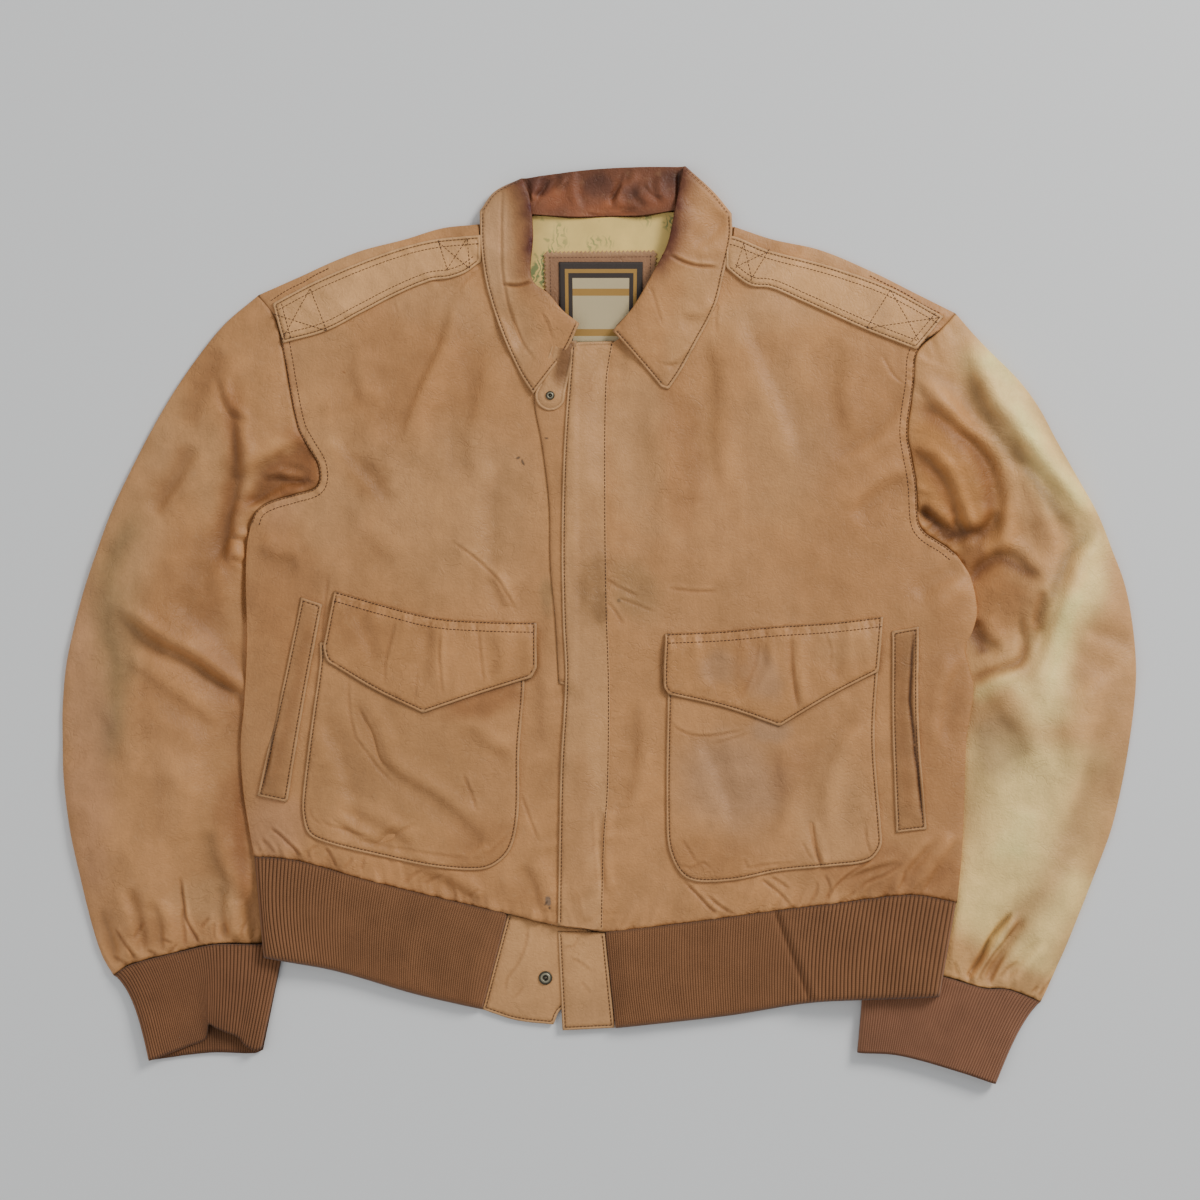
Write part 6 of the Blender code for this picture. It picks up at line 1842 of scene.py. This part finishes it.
@dataclass
class Bench:
    """What every sub-assembly works with: finishes, heights and the rows of stitches gathered so far."""

    materials: Materials = field(default_factory=Materials)
    heights: Surfaces = field(default_factory=Surfaces)
    rows: list[Row] = field(default_factory=list)
    allowance: float = 2.0

    def flat_piece(self, name: str, nodes: tuple[str, ...], top: Surface, runs: list[Line],
                   edges: Edge | list[Edge], zone: str, rests_on: list[str], slot: str = "leather_tan",
                   look: Look = Look.LEATHER, doubled: bool = False, **options: object) -> None:
        """A cloth piece from its cut lines.

        Args:
            name: The piece.
            nodes: The CAD nodes it stands for.
            top: Height of its upper side.
            runs: Cut lines that join end to end.
            edges: How each run ends, or one way for all.
            zone: Which patches of colour apply.
            rests_on: What it lies on; not used.
            slot: Its material slot; not used.
            look: Its finish.
            doubled: Whether it is a tube, with as much cloth below as above; not used.
            **options: More for Builder.sheet.
        """
        builder = Builder(name)
        edges = [edges] * len(runs) if isinstance(edges, Edge) else edges
        area = builder.sheet(top, runs, edges, zone, **options)
        obj = builder.build(self.materials.get(look), nodes, slot)
        self.declare(obj, runs, area, rests_on, doubled)

    def declare(self, obj: bpy.types.Object, outlines: list[Line], area: float, rests_on: list[str],
                doubled: bool = False) -> None:
        """Takes the cut of a piece (a tube's is twice what shows from above) and does nothing with it."""

    def stitch(self, top: Surface, run: Line, inset: float, radius: float = 0.27) -> None:
        """Add a row of stitches on the left of a line."""
        self.rows.append(Row(top, offset_row(run, inset), radius))

    def seam(self, top: Surface, run: Line, radius: float) -> None:
        """Add a row of stitches on a line itself."""
        self.rows.append(Row(top, curve(run, 3.0), radius))

    def sew(self) -> None:
        """Make every row of stitches, as one piece."""
        stitches(self.rows).build(self.materials.get(Look.THREAD))


@dataclass
class Body:
    """Back, fronts and yoke strips."""

    bench: Bench
    back_pitch: float = 8.0
    seat: float = 0.2
    yoke_height: float = 0.5
    yoke_rows: tuple[float, float] = (2.5, 6.8)
    shoulder_rows: tuple[str, ...] = ("-270,266 -256,275 -243,281.5 -234,287 -222,293",
                                      "222,287 236,280 252,272 266,263 280,256")
    armhole_rows: tuple[tuple[float, float], ...] = ((0.9, 0.27), (6.6, 0.42))

    def build(self) -> None:
        """The back first, then what lies on it."""
        bench, h = self.bench, self.bench.heights
        seam, side, flat = Edge.SEAM, Edge.ROLL, Edge.FLAT
        mirrored = np.array([-1.0, 1.0])
        bench.flat_piece(
            "back", ("back_panel",), h.back_top,
            [SHOULDER_R, ARMHOLE_R, SIDE_R, HEM_R, HEM_L, SIDE_L, ARMHOLE_L, SHOULDER_L, BACK_NECK],
            flat, "body", ["stage_floor"], pitch=self.back_pitch,
            under=lambda xy: 0.15 + 0.3 * np.maximum(relief_of("body", xy * mirrored), 0))
        seat, mid = raised(h.back_top, self.seat), between(h.back_top, h.front)
        bench.flat_piece(
            "front_right", ("right_front",), h.front,
            [YOKE_R[::-1], [YOKE_R[0], *ARMHOLE_R[2:]], SIDE_R, HEM_R, path("-8,-250 -8,226"), NECK_R[::-1]],
            [seam, seam, side, seam, flat, flat], "body", ["back"], low=seat, mid=mid)
        bench.flat_piece(
            "front_left", ("left_front",), h.front,
            [NECK_L[::-1], path("-8,226 -8,-250"), HEM_L, SIDE_L, [*ARMHOLE_L[:-2], YOKE_L[-1]],
             YOKE_L[::-1]],
            [flat, flat, seam, side, seam, seam], "body", ["back"], low=seat, mid=mid)
        yoke = h.over(self.yoke_height)
        mid = between(h.back_top, raised(h.front, self.yoke_height))
        bench.flat_piece(
            "yoke_right", ("right_yoke_strip",), yoke,
            [SHOULDER_R, path("-280,271 -266,253 -264,248"), YOKE_R, path("-98,309 -99,329")],
            [side, seam, Edge.TURNED, flat], "body", ["back"], low=seat, mid=mid)
        bench.flat_piece(
            "yoke_left", ("left_yoke_strip",), yoke,
            [path("111,327 108,305"), YOKE_L, path("268,234 280,242 293,256"), SHOULDER_L],
            [flat, Edge.TURNED, seam, side], "body", ["back"], low=seat, mid=mid)
        for line in (YOKE_R, YOKE_L):
            for inset in self.yoke_rows:
                bench.stitch(yoke, line, inset, 0.4)
        for line in self.shoulder_rows:
            bench.seam(yoke, path(line), 0.4)
        for line in (ARMHOLE_R[1:], ARMHOLE_L[:-1]):
            for inset, radius in self.armhole_rows:
                bench.stitch(h.front, line, inset, radius)


@dataclass
class Sleeves:
    """Both sleeves, as flattened tubes."""

    bench: Bench

    def build(self) -> None:
        """One sleeve at a time, open at its armhole and cuff."""
        for side, zone, slot, runs in (
                ("right", "arm_r", "leather_tan", [ARMHOLE_R, SLEEVE_IN_R, CUFF_SEAM_R, SLEEVE_OUT_R]),
                ("left", "arm_l", "leather_cream", [ARMHOLE_L, SLEEVE_OUT_L, CUFF_SEAM_L, SLEEVE_IN_L])):
            self.bench.flat_piece(
                "sleeve_" + side, (side + "_sleeve", side + "_sleeve_under"),
                covered(self.bench.heights.sleeve[side], zone), connect(runs),
                [Edge.SEAM, Edge.ROLL, Edge.SEAM, Edge.ROLL], zone, ["stage_floor"], slot=slot, doubled=True,
                under=on_table(zone), open_ends=True)


@dataclass
class Straps:
    """The shoulder straps, each with two rows round it, a crossed box and a cross."""

    bench: Bench
    height: float = 2.8
    second_row: float = 2.9
    boxes: tuple[str, ...] = ("-237,276 -223,241 -260,233 -267,255", "239,275 219,243 262,233 278,252")
    crosses: tuple[str, ...] = (
        "-132,316 -124,290", "-108,317 -106,292", "-132,314 -107,293", "-125,291 -109,316",
        "140,309 124,282", "119,314 112,292", "138,306 113,294", "125,284 119,312")

    def build(self) -> None:
        """The straps, then their boxes and crosses."""
        bench = self.bench
        top = bench.heights.over(self.height)
        for side, runs, sewn in (("right", STRAP_R, (1, 3, 2)), ("left", STRAP_L, (0, 2, 1))):
            bench.flat_piece("strap_" + side, (side + "_shoulder_strap",), top, runs, Edge.TURNED, "strap",
                             ["yoke_" + side, "front_" + side], low=bench.heights.front)
            for number in sewn:
                bench.stitch(top, runs[number], inward(runs))
                bench.stitch(top, runs[number], self.second_row * inward(runs), 0.4)
        pairs = [pair for a, b, c, d in map(path, self.boxes) for pair in ([a, b], [a, c], [b, d])]
        for pair in (*pairs, *map(path, self.crosses)):
            bench.seam(top, pair, 0.38)


@dataclass
class Pockets:
    """Patch pockets with their side welts and flaps."""

    bench: Bench
    height: float = 2.4
    flap_height: float = 2.6
    flap_lift: float = 2.0
    flap_reach: float = 14.0
    hinge_rows: tuple[tuple[float, float], ...] = ((0.4, 0.35), (3.2, 0.45))

    def build(self) -> None:
        """Pocket, welt and flap of each side, with a row of stitches round each."""
        bench, h = self.bench, self.bench.heights
        pocket_top, welt_top = h.over(self.height, "pocket"), h.over(self.height, "welt")
        for side, pocket, welt, flap in (("right", POCKET_R, WELT_R, FLAP_R),
                                         ("left", POCKET_L, WELT_L, FLAP_L)):
            front = "front_" + side
            flap_top = h.hinged(self.flap_height, self.flap_lift, flap[0], self.flap_reach, "flap")
            bench.flat_piece("pocket_" + side, (side + "_pocket",), pocket_top, pocket, Edge.TURNED, "pocket",
                             [front], low=h.front)
            bench.flat_piece("welt_" + side, (side + "_welt",), welt_top, welt, Edge.TURNED, "welt", [front],
                             low=h.front)
            bench.flat_piece("flap_" + side, (side + "_flap",), flap_top, flap,
                             [Edge.SEAM, *[Edge.TURNED] * (len(flap) - 1)], "flap", ["pocket_" + side, front],
                             low=h.front)
            bends = [run for run in pocket if len(run) > 2]
            for top, runs, outline_runs in ((pocket_top, bends, pocket), (welt_top, welt, welt),
                                            (flap_top, flap[1:], flap)):
                for run in runs:
                    bench.stitch(top, run, inward(outline_runs))
            for share, radius in self.hinge_rows:
                bench.stitch(flap_top, flap[0], share * inward(flap), radius)


@dataclass
class Closing:
    """The under-fly and the storm placket over it."""

    bench: Bench
    fly_height: float = 2.0

    def build(self) -> None:
        """The fly, then the placket."""
        bench, h = self.bench, self.bench.heights
        turned, flat = Edge.TURNED, Edge.FLAT
        bench.flat_piece("fly", ("under_fly",), h.over(self.fly_height), UNDER_FLY,
                         [Edge.SEAM, turned, flat, turned], "fly", ["front_right"], low=h.front)
        bench.flat_piece("storm_placket", ("placket",), h.placket, PLACKET,
                         [turned, turned, flat, flat, turned], "placket",
                         ["front_right", "front_left", "fly"], low=h.front)
        bench.stitch(h.placket, PLACKET[1], inward(PLACKET))
        bench.stitch(h.placket, PLACKET[3], 0.5 * inward(PLACKET), 0.45)


@dataclass
class Waist:
    """The knitted hem, its back and two fronts, and the two leather tabs."""

    bench: Bench
    area: float = 0.0425
    back_heights: tuple[float, float, float] = (2.9, 0.6, 1.6)
    drop: float = 0.8
    tab_thick: float = 1.9
    left_over_right: float = 1.7

    def build(self) -> None:
        """The rib, then the tabs."""
        bench, h = self.bench, self.bench.heights
        builder = Builder("rib_waist")
        top, low, mid = (level(height) for height in self.back_heights)
        back = Knit(HEM_R[:-1] + HEM_L, RIB_BOTTOM_BACK, ((0, 3.2), (1, 3.2)), 0.7, "waist")
        back.band(builder, top, low, 14, mid, (3, 3), roll=3, samples=4)
        right = Knit([p for p in HEM_R if p[0] <= TAB_R[0][0][0]], RIB_BOTTOM_R,
                     ((0, 3.4), (0.12, 3.1), (0.4, 2.1), (1, 2.0)), 1.4, "waist", -3.0)
        left = Knit(HEM_L[1:], RIB_BOTTOM_L,
                    ((0, 2.0), (0.48, 2.2), (0.62, 3.2), (1, 3.6)), 1.4, "waist", -1.5)
        half = between(level(0.0), h.waist)
        for knit, sides in ((right, (6, 2)), (left, (2, 6))):
            knit.band(builder, self.ribs, raised(half, -self.drop), 30, half, sides, roll=5)
        rib = builder.build(bench.materials.get(Look.KNIT), ("waist_rib",), "rib_knit")
        bench.declare(rib, [HEM_R, HEM_L, RIB_SIDE_L, RIB_BOTTOM_BACK], self.area, ["stage_floor"],
                      doubled=True)
        for side, runs, extra in (("right", TAB_R, 0.0), ("left", TAB_L, self.left_over_right)):
            top = covered(h.tab, "tab", 0.6, extra)
            bench.flat_piece("tab_" + side, (side + "_waist_tab",), top, runs,
                             [Edge.SEAM, *[Edge.TURNED] * (len(runs) - 1)], "tab",
                             ["rib_waist", "front_" + side], low=raised(h.tab, extra - self.tab_thick))
            for run in runs[1:]:
                bench.stitch(top, run, inward(runs))

    def ribs(self, xy: np.ndarray) -> np.ndarray:
        """Upper side of the front ribs, with a fold across the left one near x = 160 mm."""
        fold = (xy[:, 0] - 160) * 0.93 + (xy[:, 1] + 275) * 0.37
        return (self.bench.heights.waist(xy) - 0.3 + relief_of("rib", xy)
                - 2.2 * np.exp(-((fold / 2.6) ** 2)) + 1.2 * np.exp(-(((fold - 6) / 5.0) ** 2)))


@dataclass(frozen=True)
class CuffCut:
    """One cuff's lines, walked from the same side, its widths of rib, its drawn-in ends and its area."""

    side: str
    seam: Line
    near: Line
    far: Line
    pitches: tuple[tuple[float, float], ...]
    drawn: tuple[float, float]
    area: float


@dataclass
class Cuffs:
    """Both knitted cuffs; the wearer's right one shows its inside, in painted shade, past its dipped edge."""

    bench: Bench
    cuts: tuple[CuffCut, ...] = (
        CuffCut("right", CUFF_SEAM_R, CUFF_NOTCH_R, CUFF_MOUTH_R,
                ((0, 3.0), (0.1, 2.6), (0.3, 2.0), (0.52, 2.2), (0.64, 3.0), (1, 3.3)), (6.0, 0.0), 0.0098),
        CuffCut("left", CUFF_SEAM_L, CUFF_MOUTH_L, CUFF_MOUTH_L,
                ((0, 2.3), (0.4, 2.1), (0.7, 2.6), (1, 2.9)), (0.0, 4.0), 0.0099))
    thick: float = 2.2
    floor: tuple[float, float] = (2.6, 0.7)
    sides: tuple[float, float] = (7, 7)

    def build(self) -> None:
        """The upper layer of each, then the layer on the table."""
        bench = self.bench
        for cut in self.cuts:
            relief = bench.heights.cuff[cut.side]
            mid, top = between(level(0.0), relief), covered(relief, "rib", 1.0, -0.4)
            builder = Builder("cuff_" + cut.side)
            upper = Knit(cut.seam[::-1], cut.near[::-1], cut.pitches, 1.3, cut.side, 0.8, cut.drawn)
            upper.band(builder, top, raised(top, -self.thick), 30, mid, self.sides)
            # the layer on the table, with painted shade by its seam, under the upper layer
            lower = Knit(cut.seam[::-1], cut.far[::-1], ((0, 3.0), (1, 3.0)), 0.9, cut.side, 0.0, cut.drawn,
                         0.55)
            lower.band(builder, level(self.floor[0]), level(self.floor[1]), 26, mid, self.sides)
            cuff = builder.build(bench.materials.get(Look.KNIT), (cut.side + "_cuff",), "rib_knit")
            bench.declare(cuff, [cut.seam, cut.far], cut.area, ["stage_floor"], doubled=True)


@dataclass
class Neck:
    """Lining, patch, label, stand, collar and the small tab with its snap."""

    bench: Bench
    lining_rise: float = 0.1
    patch_height: float = 1.4
    patch_row: float = 3.6
    label_height: float = 0.8
    label_thick: float = 0.7
    label_area: float = 0.0045
    stand_thick: float = 1.6
    roll_mid: float = 4.6
    leaf_thick: float = 2.0
    leaf_pitch: float = 2.0
    behind: float = 2.1
    behind_pitch: float = 4.0
    tab_height: float = 3.8

    def build(self) -> None:
        """From the lining up to the collar."""
        bench, h = self.bench, self.bench.heights
        bench.flat_piece("lining_neck", ("neck_lining",), covered(h.lining, "lining"), LINING, Edge.FLAT,
                         "lining", ["back"], slot="lining_cloth", look=Look.LINING,
                         low=raised(h.back_top, self.lining_rise))
        patch_top = covered(h.lining, "lining", 0.6, self.patch_height)
        bench.flat_piece("patch_neck", ("neck_patch",), patch_top, [pinked(run) for run in PATCH], Edge.RAW,
                         "patch", ["lining_neck"], slot="patch_leather", low=h.lining)
        for run in PATCH:
            bench.stitch(patch_top, run, -self.patch_row)
        self.label(patch_top)
        stand_top = covered(h.stand, "stand", 0.8)
        bench.flat_piece(
            "stand", ("collar_stand",), stand_top, STAND, Edge.FLAT, "stand", ["lining_neck"],
            slot="leather_dark",
            low=lambda xy: np.where(xy[:, 1] > 345, self.behind, stand_top(xy) - self.stand_thick))
        self.collar()
        bench.flat_piece("tab_neck", ("neck_tab",), raised(h.front, self.tab_height), NECK_TAB, Edge.TURNED,
                         "tab", ["front_right", "fly"], low=h.front)

    def label(self, seat: Surface) -> None:
        """The label: its four corners' weighted mean, w = (1 - u)(1 - v) and so on, on its patch."""
        builder = Builder("label_neck")
        u, v = np.meshgrid(np.linspace(0, 1, 40), np.linspace(0, 1, 36))
        corners = np.array([run[0] for run in LABEL])
        weights = np.stack([(1 - v) * (1 - u), (1 - v) * u, v * u, v * (1 - u)], axis=-1)
        xy = weights @ corners
        z = seat(xy.reshape(-1, 2)).reshape(u.shape)[..., None] + self.label_height
        tone = np.ones((*u.shape, 4))
        weave = np.stack([u, 1 - 0.8 * v], -1)
        top = builder.grid(np.concatenate([xy, z], 2), tone, weave, True)
        low = builder.grid(np.concatenate([xy, z - self.label_thick], 2), tone, weave, False)
        slab(builder, top, low)
        obj = builder.build(self.bench.materials.get(Look.LABEL), ("neck_label",), "label_cloth")
        self.bench.declare(obj, LABEL, self.label_area, ["patch_neck"])

    def collar(self) -> None:
        """Two leaves and the part that goes round behind the neck, then the leaves' stitches."""
        bench, h = self.bench, self.bench.heights
        builder = Builder("collar")
        turned, roll, flat = Edge.TURNED, Edge.ROLL, Edge.FLAT
        mid = level(self.roll_mid)
        tops = [h.leaf(LEAF_R[0]), h.leaf(LEAF_L[0])]
        edges = [flat, turned, turned, roll, flat], [flat, flat, roll, turned, turned, turned]
        area = 0.0
        for runs, ends, top in zip((LEAF_R, LEAF_L), edges, tops):
            area += builder.sheet(top, runs, ends, "collar", mid=mid, under=raised(top, -self.leaf_thick),
                                  pitch=self.leaf_pitch)
        area += builder.sheet(level(self.behind), BEHIND, [flat, roll, turned, roll], "collar",
                              pitch=self.behind_pitch, mid=mid, under=level(0.15))
        obj = builder.build(bench.materials.get(Look.LEATHER), ("collar_fall",), "leather_tan")
        bench.declare(obj, [LEAF_R[0], LEAF_R[2], LEAF_L[0], LEAF_L[3]], area, ["front_right", "front_left"])
        for runs, top in zip((LEAF_R, LEAF_L), tops):
            for run in runs[1:]:
                if len(run) > 2:
                    bench.stitch(top, run, inward(runs))


@dataclass
class Snaps:
    """The two snap fasteners: a cap turned from (share of its radius, height in mm) pairs."""

    bench: Bench
    cap: str = ("0.86,0 1,0.25 1,0.8 0.93,1.15 0.8,1.2 0.74,1 0.7,1.25 0.6,1.5 0.46,1.5 0.4,1.2 0.36,0.5 "
                "0.2,0.45 0.16,0.9 0.05,1")
    tab_height: float = 3.8

    def build(self) -> None:
        """The snap at the neck and the one at the waist."""
        h = self.bench.heights
        for place, centre, radius, seat in (("neck", (-40.0, 188.0), 3.6, raised(h.front, self.tab_height)),
                                            ("waist", (-44.0, -290.0), 5.6, covered(h.tab, "tab", 0.6))):
            base = float(seat(np.array([centre]))[0])
            builder = lathe("snap_" + place, centre, base, [(r * radius, z) for r, z in path(self.cap)])
            builder.build(self.bench.materials.get(Look.METAL), (place + "_snap",), "snap_metal")


@dataclass
class Studio:
    """Plain floor, soft light from the upper left and a camera looking straight down."""

    half_floor: float = 4.0
    sky_colour: tuple[float, float, float] = (0.93, 0.96, 1.0)
    sky_strength: float = 0.46
    lamps: tuple[tuple[str, tuple[float, float, float], float, float], ...] = (
        ("key", (2.1, 1.9, 1.9), 1.1, 84.0), ("fill", (-2.2, -0.6, 2.6), 2.4, 18.0))
    eye: tuple[float, float, float] = (0.0008, 0.0205, 2.6)
    seen: float = 0.984
    sensor: float = 36.0

    def build(self, materials: Materials) -> None:
        """Floor, sky, lamps (name, place, size, power) and camera."""
        scene = bpy.context.scene
        r = self.half_floor
        mesh = bpy.data.meshes.new("stage_floor")
        mesh.from_pydata([(-r, -r, 0), (r, -r, 0), (r, r, 0), (-r, r, 0)], [], [(0, 1, 2, 3)])
        mesh.materials.append(materials.get(Look.FLOOR))
        floor = bpy.data.objects.new("stage_floor", mesh)
        scene.collection.objects.link(floor)
        world = bpy.data.worlds.new("soft_sky")
        world.use_nodes = True
        sky = world.node_tree.nodes["Background"].inputs
        sky["Color"].default_value = (*self.sky_colour, 1)
        sky["Strength"].default_value = self.sky_strength
        scene.world = world
        for name, place, size, power in self.lamps:
            light = bpy.data.lights.new(name, "AREA")
            light.size, light.energy = size, power
            lamp = bpy.data.objects.new(name, light)
            lamp.location = place
            lamp.rotation_euler = (-Vector(place)).to_track_quat("-Z", "Y").to_euler()
            scene.collection.objects.link(lamp)
        lens = bpy.data.cameras.new("camera")
        lens.sensor_width = self.sensor
        lens.lens = self.sensor * 2.59 / self.seen
        lens.clip_end = 20.0
        camera = bpy.data.objects.new("camera", lens)
        camera.location = (self.eye[0], self.eye[1] + SHIFT_Y * MM, self.eye[2])
        scene.collection.objects.link(camera)
        scene.camera = camera


def main() -> None:
    """Build the jacket on the frame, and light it."""
    logging.basicConfig(level=logging.INFO, format="%(message)s")
    bench = Bench()
    for assembly in (Body, Sleeves, Straps, Pockets, Closing, Waist, Cuffs, Neck, Snaps):
        assembly(bench).build()
        LOG.info("built: %s", assembly.__name__)
    bench.sew()
    Studio().build(bench.materials)


if __name__ == "__main__":
    main()
